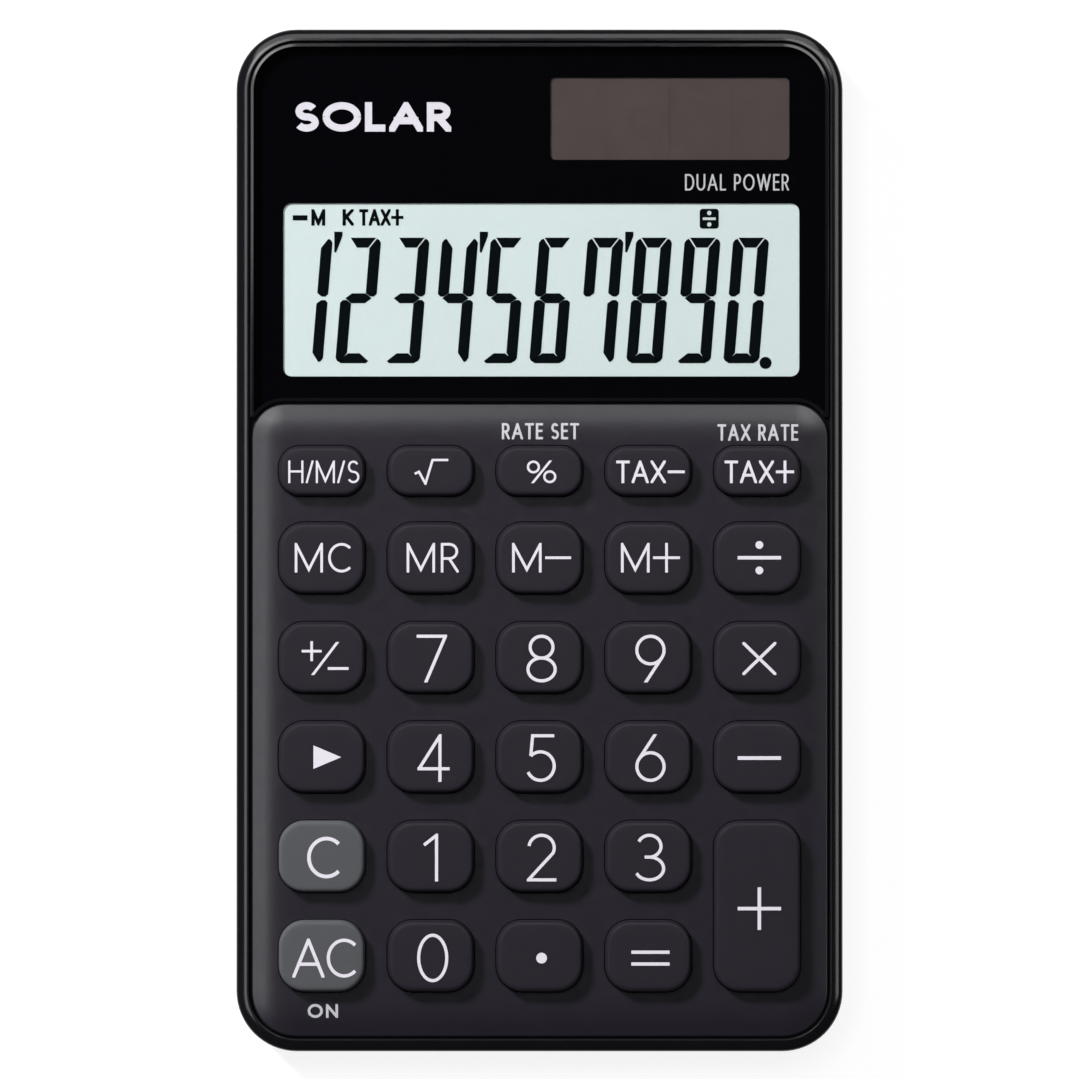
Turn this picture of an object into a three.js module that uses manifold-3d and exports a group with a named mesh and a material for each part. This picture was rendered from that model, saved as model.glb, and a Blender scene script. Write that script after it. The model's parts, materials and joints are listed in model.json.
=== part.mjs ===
// A slim pocket calculator with solar and button-cell power, lying on its back.
//
// Millimetres. +X is right, +Y is towards the display end, +Z is out of the key face. The origin is
// the centre of the footprint, on the surface that the feet stand on.
//
// It is built as it comes apart: a rear case with four screws and four feet; a circuit board with
// its chip, capacitor, solar leads, cell contacts and button cell; a rubber dome sheet; 29 keys
// whose flanges are trapped under the front case; the display stack in its holder; the solar cell;
// and, from the front, the window and the keypad panel in the recess of the front case.
import * as THREE from "three";
import { mergeVertices } from "three/addons/utils/BufferGeometryUtils.js";
import Module from "manifold-3d";

// ---- Driving dimensions -------------------------------------------------------------------

const CASE = { width: 70, length: 118, corner: 7, wall: 1.8, topEdge: 1.1, backEdge: 1.2 };
const HALF = { x: CASE.width / 2, y: CASE.length / 2 };

// Heights of the layers, from the back to the key tops.
const Z = {
  floor: 0,
  backOutside: 0.3,
  backInside: 1.4,
  boardBottom: 2.4,
  boardTop: 3.2,
  rearRim: 3.3,
  frontRim: 3.4,
  tongueTop: 4.0,
  rebateTop: 4.1,
  plateBottom: 5.2,
  plateTop: 6.0,
  faceTop: 6.85,
  rimTop: 6.9,
  keyTop: 8.0,
};
const SLACK = 0.05; // standing gap between parts that rest on each other
const RECESS = { inset: 1.5, floor: Z.plateTop }; // in the front case, for window and panel
const TONGUE_INSET = 0.95; // from the outside of the case, with the rebate 0.1 further out

const KEY = {
  width: 10,
  height: 8.3,
  smallHeight: 5.85,
  corner: 3,
  smallCorner: 2.5,
  pitchX: 12.55,
  pitchY: 11.47,
  holeGap: 0.3,
  hiddenHoleGap: 0.45,
  flangeReach: 0.7,
  flangeThick: 0.4,
  flangeChamfer: 1.8,
  edge: 0.3,
  roof: 1.1,
  wall: 1.2,
  plungerRadius: 1.4,
  travel: 0.9,
};
const FIRST_LARGE_ROW_Y = -2.05;
const SMALL_ROW_Y = 8.0;

const PANEL = { halfWidth: 33.3, top: 15.8, bottom: -57.3, topCorner: 3.9, bottomCorner: 5.3 };
const WINDOW = { halfWidth: 33.35, top: 57.35, corner: 5.35, panelGap: 0.25, earTip: 0.5 };
// The lit field, and how far the front glass reaches past it. The glass sits in a hole in the case.
const DISPLAY = { x: 0.2, y: 28.93, width: 59.6, height: 20, side: 1, head: 1.2, ledge: 16.4 };
const GLASS_MARGIN = 0.15;
const SOLAR = { x: 15.05, y: 48.7, width: 27.6, height: 9.5, cellMargin: 0.45, thick: 1.1 };

const CELL = { x: -14, y: 49.9, radius: 5.8, height: 3.05, bottom: 1.7 };
const BOARD = { width: 64, bottom: -52.9, top: 42.7 };
const SHEET = { width: 63, bottom: -52.9, top: 13, thick: 0.5, domeTop: 4.7, wall: 0.5 };

const CASE_SCREW = { x: 30.6, y: 55.1, headRadius: 1.35, headThick: 0.7, shankRadius: 0.75 };
const BOARD_SCREW = { headRadius: 1.3, headThick: 0.7, shankRadius: 0.7 };
const BOARD_SCREWS = [
  { name: "left_upper", x: -18.8, y: -7.78 },
  { name: "right_upper", x: 18.8, y: -7.78 },
  { name: "left_lower", x: -6.28, y: -42.2 },
  { name: "right_lower", x: 6.28, y: -42.2 },
];
const FOOT = { x: 24, y: 48, radius: 3, height: 0.75 };
const CORNERS = [
  { name: "top_left", x: -1, y: 1 },
  { name: "top_right", x: 1, y: 1 },
  { name: "bottom_left", x: -1, y: -1 },
  { name: "bottom_right", x: 1, y: -1 },
];

// ---- Materials ----------------------------------------------------------------------------

const material = (color, roughness, metalness = 0, extra = {}) =>
  new THREE.MeshStandardMaterial({ color, roughness, metalness, ...extra });

const GLOSS_BLACK = material(0x08080a, 0.12);
const BACK_BLACK = material(0x151517, 0.45);
const PANEL_GREY = material(0x3a3a3e, 0.4);
const KEY_BLACK = material(0x2f2e33, 0.42);
const KEY_GREY = material(0x5b5c5f, 0.42);
const CLEAR_WINDOW = material(0x101014, 0.05, 0, { transparent: true, opacity: 0.35 });
const DISPLAY_GLASS = material(0xcfe0dd, 0.1, 0, { transparent: true, opacity: 0.5 });
const DISPLAY_BACK = material(0xc9d8d2, 0.5);
const SOLAR_BROWN = material(0x4b4040, 0.2);
const HOLDER_GREY = material(0x8d8f92, 0.6);
const ELASTOMER = material(0xb8b4a8, 0.7);
const BOARD_GREEN = material(0x1f5a35, 0.5);
const EPOXY_BLACK = material(0x111111, 0.35);
const CAPACITOR_TAN = material(0xa88a62, 0.5);
const RUBBER_GREY = material(0x6d7276, 0.8);
const RUBBER_BLACK = material(0x191919, 0.9);
const STEEL = material(0xb9bcc0, 0.3, 0.9);
const NICKEL = material(0xc7c4ba, 0.28, 0.9);
const RED_LEAD = material(0xb02020, 0.5);
const BLACK_LEAD = material(0x1a1a1a, 0.5);

// ---- Shape and solid helpers --------------------------------------------------------------

const wasm = await Module();
wasm.setup();

// An arc of a shape gets twice this many segments.
const HIDDEN_CORNER_DIVISIONS = 1;
const CORNER_DIVISIONS = 1.5;
const FINE_CORNER_DIVISIONS = 3;
const ROUND_SIDES = 12;
const FINE_ROUND_SIDES = 24;
const FAR = 200; // longer than anything in the object

// A rectangle with round corners, centred on (x, y).
function roundedRectangle(width, height, corner, x = 0, y = 0) {
  const right = x + width / 2 - corner;
  const left = x - width / 2 + corner;
  const top = y + height / 2 - corner;
  const bottom = y - height / 2 + corner;
  const shape = new THREE.Shape();
  shape.absarc(right, top, corner, 0, Math.PI / 2);
  shape.absarc(left, top, corner, Math.PI / 2, Math.PI);
  shape.absarc(left, bottom, corner, Math.PI, 1.5 * Math.PI);
  shape.absarc(right, bottom, corner, 1.5 * Math.PI, 2 * Math.PI);
  shape.closePath();
  return shape;
}

// A rectangle with its corners cut off, centred on the origin.
function chamferedRectangle(width, height, chamfer) {
  const x = width / 2;
  const y = height / 2;
  const corners = [
    [x, -y + chamfer],
    [x, y - chamfer],
    [x - chamfer, y],
    [-x + chamfer, y],
    [-x, y - chamfer],
    [-x, -y + chamfer],
    [-x + chamfer, -y],
    [x - chamfer, -y],
  ];
  return new THREE.Shape(corners.map(([u, v]) => new THREE.Vector2(u, v)));
}

// The outline of the case, moved inwards.
function caseOutline(inset = 0) {
  return roundedRectangle(CASE.width - 2 * inset, CASE.length - 2 * inset, CASE.corner - inset);
}

// A closed geometry as a solid that can be joined and cut.
function solid(geometry) {
  const bare = geometry.index ? geometry.toNonIndexed() : geometry;
  bare.deleteAttribute("normal");
  bare.deleteAttribute("uv");
  const merged = mergeVertices(bare, 1e-4);
  const mesh = new wasm.Mesh({
    numProp: 3,
    vertProperties: merged.attributes.position.array,
    triVerts: new Uint32Array(merged.index.array),
  });
  return new wasm.Manifold(mesh);
}

// The solid of an outline between two heights.
function slab(shape, bottom, top, divisions = CORNER_DIVISIONS) {
  const options = { depth: top - bottom, curveSegments: divisions, bevelEnabled: false };
  return solid(new THREE.ExtrudeGeometry(shape, options).translate(0, 0, bottom));
}

function box(x0, x1, y0, y1, z0, z1) {
  const geometry = new THREE.BoxGeometry(x1 - x0, y1 - y0, z1 - z0);
  return solid(geometry.translate((x0 + x1) / 2, (y0 + y1) / 2, (z0 + z1) / 2));
}

// A slab whose top edge, or bottom edge, is rounded off by the given size.
function edgedSlab(shape, bottom, top, edge, { atBottom = false, segments = 3, divisions }) {
  const low = atBottom ? bottom : bottom - edge;
  const high = atBottom ? top + edge : top;
  const options = {
    depth: high - low - 2 * edge,
    curveSegments: divisions ?? CORNER_DIVISIONS,
    bevelThickness: edge,
    bevelSize: edge,
    bevelOffset: -edge,
    bevelSegments: segments,
  };
  const whole = solid(new THREE.ExtrudeGeometry(shape, options).translate(0, 0, low + edge));
  const excess = atBottom
    ? box(-FAR, FAR, -FAR, FAR, top, top + FAR)
    : box(-FAR, FAR, -FAR, FAR, bottom - FAR, bottom);
  return whole.subtract(excess);
}

// An upright cylinder, or a cone when the radii differ.
function post(x, y, bottom, top, radius, topRadius = radius, sides = ROUND_SIDES) {
  const geometry = new THREE.CylinderGeometry(topRadius, radius, top - bottom, sides);
  return solid(geometry.rotateX(Math.PI / 2).translate(x, y, (bottom + top) / 2));
}

// A strip of sheet metal: a side profile in Y and Z, as wide as given in X.
function bentStrip(profile, width, x) {
  const shape = new THREE.Shape(profile.map(([y, z]) => new THREE.Vector2(y, z)));
  const geometry = new THREE.ExtrudeGeometry(shape, { depth: width, bevelEnabled: false });
  geometry.applyMatrix4(
    new THREE.Matrix4().makeBasis(
      new THREE.Vector3(0, 1, 0),
      new THREE.Vector3(0, 0, 1),
      new THREE.Vector3(1, 0, 0),
    ),
  );
  return solid(geometry.translate(x - width / 2, 0, 0));
}

function geometryOf(manifold) {
  const { vertProperties, triVerts } = manifold.getMesh();
  const geometry = new THREE.BufferGeometry();
  geometry.setAttribute("position", new THREE.BufferAttribute(vertProperties, 3));
  geometry.setIndex(new THREE.BufferAttribute(triVerts, 1));
  geometry.computeVertexNormals();
  return geometry;
}

const calculator = new THREE.Group();
calculator.name = "pocket_calculator";

// Adds a solid to a group as a named sub-part.
function addPart(name, manifold, finish, group = calculator) {
  const mesh = new THREE.Mesh(geometryOf(manifold), finish);
  mesh.name = name;
  group.add(mesh);
  return mesh;
}

// ---- Key layout ---------------------------------------------------------------------------

const COLUMNS = [-2, -1, 0, 1, 2];
const largeRowY = (row) => FIRST_LARGE_ROW_Y - row * KEY.pitchY;

// Each row's keys from left to right. The plus key fills the last two rows of the last column.
const KEY_ROWS = [
  { y: SMALL_ROW_Y, small: true, names: ["hms", "square_root", "percent", "tax_minus", "tax_plus"] },
  {
    y: largeRowY(0),
    names: ["memory_clear", "memory_recall", "memory_minus", "memory_plus", "divide"],
  },
  { y: largeRowY(1), names: ["sign_change", "7", "8", "9", "multiply"] },
  { y: largeRowY(2), names: ["backspace", "4", "5", "6", "minus"] },
  { y: largeRowY(3), names: ["clear", "1", "2", "3"] },
  { y: largeRowY(4), names: ["all_clear", "0", "decimal_point", "equals"] },
];

function keyLayout() {
  const keys = [];
  for (const row of KEY_ROWS) {
    row.names.forEach((name, column) => {
      keys.push({
        name: `key_${name}`,
        x: COLUMNS[column] * KEY.pitchX,
        y: row.y,
        width: KEY.width,
        height: row.small ? KEY.smallHeight : KEY.height,
        corner: row.small ? KEY.smallCorner : KEY.corner,
        finish: name.endsWith("clear") && !name.startsWith("memory") ? KEY_GREY : KEY_BLACK,
      });
    });
  }
  keys.push({
    name: "key_plus",
    x: 2 * KEY.pitchX,
    y: (largeRowY(3) + largeRowY(4)) / 2,
    width: KEY.width,
    height: KEY.height + KEY.pitchY,
    corner: KEY.corner,
    finish: KEY_BLACK,
  });
  return keys;
}
const KEYS = keyLayout();

// The hole that a key moves in.
function keyHole(key, gap, bottom, top, divisions = CORNER_DIVISIONS) {
  const width = key.width + 2 * gap;
  const height = key.height + 2 * gap;
  const outline = roundedRectangle(width, height, key.corner + gap, key.x, key.y);
  return slab(outline, bottom, top, divisions);
}

function cutAll(body, cutters) {
  return cutters.reduce((rest, cutter) => rest.subtract(cutter), body);
}

function joinAll(body, additions) {
  return additions.reduce((whole, addition) => whole.add(addition), body);
}

// ---- Front case ---------------------------------------------------------------------------

function frontCase() {
  const outer = edgedSlab(caseOutline(), Z.frontRim, Z.rimTop, CASE.topEdge, {
    divisions: FINE_CORNER_DIVISIONS,
  });
  const above = Z.rimTop + 1;
  const below = Z.frontRim - 1;
  const cutters = [
    slab(caseOutline(RECESS.inset), RECESS.floor, above, FINE_CORNER_DIVISIONS),
    slab(caseOutline(CASE.wall), below, Z.plateBottom),
    slab(caseOutline(TONGUE_INSET - 0.1), below, Z.rebateTop, FINE_CORNER_DIVISIONS),
    box(
      DISPLAY.x - DISPLAY.width / 2 - DISPLAY.side - GLASS_MARGIN,
      DISPLAY.x + DISPLAY.width / 2 + DISPLAY.side + GLASS_MARGIN,
      DISPLAY.ledge - GLASS_MARGIN,
      DISPLAY.y + DISPLAY.height / 2 + DISPLAY.head + GLASS_MARGIN,
      below,
      above,
    ),
    box(
      SOLAR.x - SOLAR.width / 2 - 0.7,
      SOLAR.x + SOLAR.width / 2 + 0.7,
      SOLAR.y - SOLAR.height / 2 - 0.7,
      SOLAR.y + SOLAR.height / 2 + 0.7,
      below,
      above,
    ),
    ...KEYS.map((key) => keyHole(key, KEY.hiddenHoleGap, below, above, HIDDEN_CORNER_DIVISIONS)),
  ];
  const caseBosses = CORNERS.map((corner) =>
    post(corner.x * CASE_SCREW.x, corner.y * CASE_SCREW.y, Z.frontRim, Z.plateTop - 0.4, 1.6),
  );
  const boardBosses = BOARD_SCREWS.map((screw) =>
    post(screw.x, screw.y, Z.boardTop + SLACK, Z.plateTop - 0.4, 1.5),
  );
  const pilots = [
    ...CORNERS.map((corner) =>
      post(corner.x * CASE_SCREW.x, corner.y * CASE_SCREW.y, below, Z.plateBottom - 0.1, 0.85),
    ),
    ...BOARD_SCREWS.map((screw) => post(screw.x, screw.y, below, Z.plateBottom - 0.1, 0.8)),
  ];
  const shell = joinAll(cutAll(outer, cutters), [...caseBosses, ...boardBosses]);
  addPart("front_case", cutAll(shell, pilots), GLOSS_BLACK);
}

// ---- Window and keypad panel --------------------------------------------------------------

// The clear window fills the upper face. Its lower corners run down beside the panel's round ones.
function displayWindow() {
  const centreX = PANEL.halfWidth - PANEL.topCorner;
  const centreY = PANEL.top - PANEL.topCorner;
  const radius = PANEL.topCorner + WINDOW.panelGap;
  const tipAngle = Math.acos((WINDOW.halfWidth - WINDOW.earTip - centreX) / radius);
  const tipY = centreY + radius * Math.sin(tipAngle);
  const side = WINDOW.halfWidth;
  const cornerX = side - WINDOW.corner;
  const cornerY = WINDOW.top - WINDOW.corner;

  const shape = new THREE.Shape();
  shape.moveTo(-centreX, centreY + radius);
  shape.absarc(centreX, centreY, radius, Math.PI / 2, tipAngle, true);
  shape.lineTo(side, tipY);
  shape.absarc(cornerX, cornerY, WINDOW.corner, 0, Math.PI / 2);
  shape.absarc(-cornerX, cornerY, WINDOW.corner, Math.PI / 2, Math.PI);
  shape.lineTo(-side, tipY);
  shape.absarc(-centreX, centreY, radius, Math.PI - tipAngle, Math.PI / 2, true);
  const plate = slab(shape, RECESS.floor + SLACK, Z.faceTop, FINE_CORNER_DIVISIONS);
  addPart("display_window", plate, CLEAR_WINDOW);
}

function keypadPanel() {
  const { halfWidth, top, bottom, topCorner, bottomCorner } = PANEL;
  const shape = new THREE.Shape();
  shape.absarc(halfWidth - topCorner, top - topCorner, topCorner, 0, Math.PI / 2);
  shape.absarc(-halfWidth + topCorner, top - topCorner, topCorner, Math.PI / 2, Math.PI);
  shape.absarc(
    -halfWidth + bottomCorner,
    bottom + bottomCorner,
    bottomCorner,
    Math.PI,
    1.5 * Math.PI,
  );
  shape.absarc(
    halfWidth - bottomCorner,
    bottom + bottomCorner,
    bottomCorner,
    1.5 * Math.PI,
    2 * Math.PI,
  );
  shape.closePath();
  const plate = edgedSlab(shape, RECESS.floor + SLACK, Z.faceTop, 0.4, {
    segments: 2,
    divisions: FINE_CORNER_DIVISIONS,
  });
  const holes = KEYS.map((key) => keyHole(key, KEY.holeGap, Z.plateTop - 1, Z.faceTop + 1));
  addPart("keypad_panel", cutAll(plate, holes), PANEL_GREY);
}

// ---- Keys ---------------------------------------------------------------------------------

// A hollow cap with a trapped flange and a plunger over its dome.
function keyCap(key) {
  const flangeTop = Z.plateBottom - SLACK;
  const flangeBottom = flangeTop - KEY.flangeThick;
  const flangeOutline = chamferedRectangle(
    key.width + 2 * KEY.flangeReach,
    key.height + 2 * KEY.flangeReach,
    KEY.flangeChamfer,
  );
  const flange = slab(flangeOutline, flangeBottom, flangeTop);
  const cap = edgedSlab(
    roundedRectangle(key.width, key.height, key.corner),
    flangeBottom,
    Z.keyTop,
    KEY.edge,
    { segments: 1 },
  );
  const pocketX = key.width / 2 - KEY.wall;
  const pocketY = key.height / 2 - KEY.wall;
  const roof = Z.keyTop - KEY.roof;
  const pocket = box(-pocketX, pocketX, -pocketY, pocketY, flangeBottom - 1, roof);
  const plunger = post(0, 0, flangeBottom, roof + 0.2, KEY.plungerRadius, KEY.plungerRadius, 6);
  return flange.add(cap).subtract(pocket).add(plunger);
}

function addKeys() {
  const group = new THREE.Group();
  for (const key of KEYS) {
    addPart(key.name, keyCap(key), key.finish, group).position.set(key.x, key.y, 0);
  }
  calculator.add(group);
}

// ---- Rubber dome sheet --------------------------------------------------------------------

function domeSheet() {
  const bottom = Z.boardTop + 0.02;
  const top = bottom + SHEET.thick;
  const half = SHEET.width / 2;
  const plate = box(-half, half, SHEET.bottom, SHEET.top, bottom, top);
  const sides = 6;
  const domes = KEYS.map((key) => {
    const base = key.height < KEY.height ? 2.6 : 3.1;
    return post(key.x, key.y, top - 0.1, SHEET.domeTop, base, KEY.plungerRadius + 0.3, sides);
  });
  const hollows = KEYS.map((key) => {
    const base = (key.height < KEY.height ? 2.6 : 3.1) - SHEET.wall;
    return post(key.x, key.y, bottom - 0.1, SHEET.domeTop - SHEET.wall, base, 1.2, sides);
  });
  const bossHoles = BOARD_SCREWS.map((screw) => post(screw.x, screw.y, bottom - 1, top + 1, 1.75));
  addPart("rubber_dome_sheet", cutAll(joinAll(plate, domes), [...hollows, ...bossHoles]), RUBBER_GREY);
}

// ---- Circuit board and what is on it ------------------------------------------------------

function circuitBoard() {
  const centreY = (BOARD.top + BOARD.bottom) / 2;
  const outline = roundedRectangle(BOARD.width, BOARD.top - BOARD.bottom, 1, 0, centreY);
  const board = slab(outline, Z.boardBottom, Z.boardTop, 1);
  const holes = BOARD_SCREWS.map((screw) =>
    post(screw.x, screw.y, Z.boardBottom - 1, Z.boardTop + 1, 0.9),
  );
  addPart("circuit_board", cutAll(board, holes), BOARD_GREEN);
}

// The processor, bonded to the back of the board under a drop of epoxy.
function controllerChip() {
  const radius = 4.2;
  const height = 0.8;
  const profile = [new THREE.Vector2(0, 0), new THREE.Vector2(radius, 0)];
  const steps = 4;
  for (let i = 1; i < steps; i++) {
    const angle = (i / steps) * (Math.PI / 2);
    profile.push(new THREE.Vector2(radius * Math.cos(angle), height * Math.sin(angle)));
  }
  profile.push(new THREE.Vector2(0, height));
  const dome = new THREE.LatheGeometry(profile, 16).rotateX(-Math.PI / 2);
  addPart("controller_chip", solid(dome.translate(2, 28, Z.boardBottom)), EPOXY_BLACK);
}

function capacitor() {
  const body = box(14, 17.2, 34, 35.6, Z.boardBottom - 0.85, Z.boardBottom - 0.02);
  addPart("capacitor", body, CAPACITOR_TAN);
}

function solarLeads() {
  const radius = 0.35;
  const section = new THREE.Shape().absarc(0, 0, radius, 0, 2 * Math.PI);
  const leads = [
    { name: "solar_lead_positive", x: 7, finish: RED_LEAD },
    { name: "solar_lead_negative", x: 10, finish: BLACK_LEAD },
  ];
  for (const lead of leads) {
    const route = new THREE.CatmullRomCurve3([
      new THREE.Vector3(lead.x, 47.5, 4.4),
      new THREE.Vector3(lead.x + 0.2, 45, 4.35),
      new THREE.Vector3(lead.x + 0.7, 43.2, 3.9),
      new THREE.Vector3(lead.x + 0.8, 41.5, 3.65),
    ]);
    const options = { steps: 10, extrudePath: route, curveSegments: 4 };
    addPart(lead.name, solid(new THREE.ExtrudeGeometry(section, options)), lead.finish);
  }
}

function buttonCell() {
  const { x, y, radius, height, bottom } = CELL;
  const can = post(x, y, bottom + 0.35, bottom + height, radius, radius, FINE_ROUND_SIDES);
  const cap = post(x, y, bottom, bottom + 0.5, radius - 0.9, radius - 0.9, FINE_ROUND_SIDES);
  addPart("button_cell", can.add(cap), NICKEL);
}

function cellContacts() {
  const thick = 0.2;
  const width = 4;
  const far = CELL.y + 2;
  const low = Z.backInside + SLACK;
  const negativeEnd = BOARD.top - 1.7;
  const negative = [
    [far, low],
    [far, low + thick],
    [negativeEnd + thick, low + thick],
    [negativeEnd + thick, Z.boardBottom - SLACK],
    [negativeEnd, Z.boardBottom - SLACK],
    [negativeEnd, low],
  ];
  const high = CELL.bottom + CELL.height + 0.1;
  const positiveEnd = BOARD.top - 0.7;
  const positive = [
    [far, high],
    [far, high + thick],
    [positiveEnd, high + thick],
    [positiveEnd, Z.boardTop + SLACK],
    [positiveEnd + thick, Z.boardTop + SLACK],
    [positiveEnd + thick, high],
  ];
  addPart("cell_contact_negative", bentStrip(negative, width, CELL.x), NICKEL);
  addPart("cell_contact_positive", bentStrip(positive, width, CELL.x), NICKEL);
}

// ---- Display stack and solar cell ---------------------------------------------------------

// The front glass carries the contact ledge, so it reaches further down than the rear glass.
function displayStack() {
  const glassHalf = DISPLAY.width / 2 + DISPLAY.side;
  const x0 = DISPLAY.x - glassHalf;
  const x1 = DISPLAY.x + glassHalf;
  const top = DISPLAY.y + DISPLAY.height / 2 + DISPLAY.head;
  const ledge = DISPLAY.ledge;
  const rearEdge = 18.6;
  const frontTop = Z.plateTop - SLACK;
  const glass = 0.55;
  const film = 0.16;
  const gap = 0.02;
  const frontBottom = frontTop - glass;
  const rearTop = frontBottom - gap;
  const rearBottom = rearTop - glass;
  const filmTop = rearBottom - gap;
  const filmBottom = filmTop - film;
  addPart("lcd_front_glass", box(x0, x1, ledge, top, frontBottom, frontTop), DISPLAY_GLASS);
  addPart("lcd_rear_glass", box(x0, x1, rearEdge, top, rearBottom, rearTop), DISPLAY_GLASS);
  addPart("lcd_reflector", box(x0, x1, rearEdge, top, filmBottom, filmTop), DISPLAY_BACK);

  const margin = GLASS_MARGIN;
  const wall = 0.8;
  const base = Z.boardTop + SLACK;
  const frameTop = Z.plateBottom - 0.15;
  const frame = box(
    x0 - margin - wall,
    x1 + margin + wall,
    ledge - margin - wall,
    top + margin + wall,
    base,
    frameTop,
  );
  const pocketFloor = filmBottom - gap;
  const pocket = box(x0 - margin, x1 + margin, ledge - margin, top + margin, pocketFloor, FAR);
  const slotTop = 18.3;
  const slot = box(x0 + 0.4, x1 - 0.4, ledge + 0.2, slotTop, base - 1, pocketFloor + 1);
  const window = box(x0 + 5, x1 - 5, rearEdge + 4, top - 4, base - 1, pocketFloor + 1);
  addPart("lcd_holder", cutAll(frame, [pocket, slot, window]), HOLDER_GREY);

  const strip = box(x0 + 0.7, x1 - 0.7, ledge + 0.4, slotTop - 0.3, base, frontBottom - gap);
  addPart("zebra_connector", strip, ELASTOMER);
}

function solarCell() {
  const halfX = SOLAR.width / 2 + SOLAR.cellMargin;
  const halfY = SOLAR.height / 2 + SOLAR.cellMargin;
  const top = RECESS.floor - SLACK;
  const cell = box(
    SOLAR.x - halfX,
    SOLAR.x + halfX,
    SOLAR.y - halfY,
    SOLAR.y + halfY,
    top - SOLAR.thick,
    top,
  );
  addPart("solar_cell", cell, SOLAR_BROWN);
}

// ---- Rear case, screws and feet -----------------------------------------------------------

function rearCase() {
  const outer = edgedSlab(caseOutline(), Z.backOutside, Z.rearRim, CASE.backEdge, {
    atBottom: true,
    divisions: FINE_CORNER_DIVISIONS,
  });
  const cavity = slab(caseOutline(CASE.wall), Z.backInside, FAR);
  const bossRoom = CORNERS.map((corner) =>
    post(corner.x * CASE_SCREW.x, corner.y * CASE_SCREW.y, Z.rearRim, FAR, 1.9),
  );
  const tongue = cutAll(
    slab(caseOutline(TONGUE_INSET), Z.rearRim - 0.5, Z.tongueTop, FINE_CORNER_DIVISIONS),
    [cavity, ...bossRoom],
  );

  const pillars = CORNERS.map((corner) =>
    post(corner.x * CASE_SCREW.x, corner.y * CASE_SCREW.y, Z.backInside - 0.3, Z.rearRim, 1.8),
  );
  const seatWall = 0.9;
  const seatRadius = CELL.radius + 0.25;
  const seatTop = 4;
  const seat = post(
    CELL.x,
    CELL.y,
    Z.backInside - 0.3,
    seatTop,
    seatRadius + seatWall,
    seatRadius + seatWall,
    FINE_ROUND_SIDES,
  )
    .subtract(post(CELL.x, CELL.y, Z.backInside, FAR, seatRadius, seatRadius, FINE_ROUND_SIDES))
    .subtract(box(CELL.x - 2.4, CELL.x + 2.4, 0, CELL.y, Z.backInside, FAR));

  const screwSeat = Z.backOutside + 0.95;
  const cutters = [
    ...CORNERS.map((corner) => {
      const x = corner.x * CASE_SCREW.x;
      const y = corner.y * CASE_SCREW.y;
      return post(x, y, -1, screwSeat, 1.6, 1.6, 16).add(post(x, y, -1, FAR, 0.95));
    }),
    ...CORNERS.map((corner) =>
      post(corner.x * FOOT.x, corner.y * FOOT.y, -1, FOOT.height + SLACK, 3.15, 3.15, 24),
    ),
  ];
  const shell = joinAll(outer.subtract(cavity), [tongue, ...pillars, seat]);
  addPart("rear_case", cutAll(shell, cutters), BACK_BLACK);
}

// A pan-head screw that points up, with a cross recess in its head.
function screwSolid(headBottom, tip, { headRadius, headThick, shankRadius }) {
  const headTop = headBottom + headThick;
  const head = post(0, 0, headBottom, headTop, headRadius, headRadius, ROUND_SIDES);
  const shank = post(0, 0, headTop - 0.1, tip, shankRadius, shankRadius * 0.8, 8);
  const slotHalf = 0.16;
  const slotReach = headRadius * 0.6;
  const slotTop = headBottom + 0.4;
  const slots = [
    box(-slotReach, slotReach, -slotHalf, slotHalf, headBottom - 1, slotTop),
    box(-slotHalf, slotHalf, -slotReach, slotReach, headBottom - 1, slotTop),
  ];
  return cutAll(head.add(shank), slots);
}

function addScrews() {
  const group = new THREE.Group();
  const tip = Z.plateBottom - 0.3;
  for (const corner of CORNERS) {
    const screw = screwSolid(Z.backOutside + 0.2, tip, CASE_SCREW);
    const mesh = addPart(`case_screw_${corner.name}`, screw, STEEL, group);
    mesh.position.set(corner.x * CASE_SCREW.x, corner.y * CASE_SCREW.y, 0);
  }
  for (const place of BOARD_SCREWS) {
    const headBottom = Z.boardBottom - SLACK - BOARD_SCREW.headThick;
    const mesh = addPart(
      `board_screw_${place.name}`,
      screwSolid(headBottom, tip, BOARD_SCREW),
      STEEL,
      group,
    );
    mesh.position.set(place.x, place.y, 0);
  }
  calculator.add(group);
}

function addFeet() {
  const group = new THREE.Group();
  for (const corner of CORNERS) {
    const foot = post(0, 0, Z.floor, FOOT.height, FOOT.radius, FOOT.radius, 24);
    const mesh = addPart(`foot_${corner.name}`, foot, RUBBER_BLACK, group);
    mesh.position.set(corner.x * FOOT.x, corner.y * FOOT.y, 0);
  }
  calculator.add(group);
}

// ---- Assembly -----------------------------------------------------------------------------

rearCase();
addScrews();
addFeet();
circuitBoard();
controllerChip();
capacitor();
solarLeads();
buttonCell();
cellContacts();
domeSheet();
addKeys();
displayStack();
solarCell();
frontCase();
displayWindow();
keypadPanel();

export default calculator;
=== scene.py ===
"""A slim pocket calculator lying on its back, seen from straight above.

Lengths in the shapes below are in millimetres, and are scaled to metres when a mesh is made. A piece
that stands for a CAD node takes its place from that node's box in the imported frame.
"""

import json
import math

import bpy
from mathutils import Matrix, Vector
from mathutils.geometry import delaunay_2d_cdt


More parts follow.
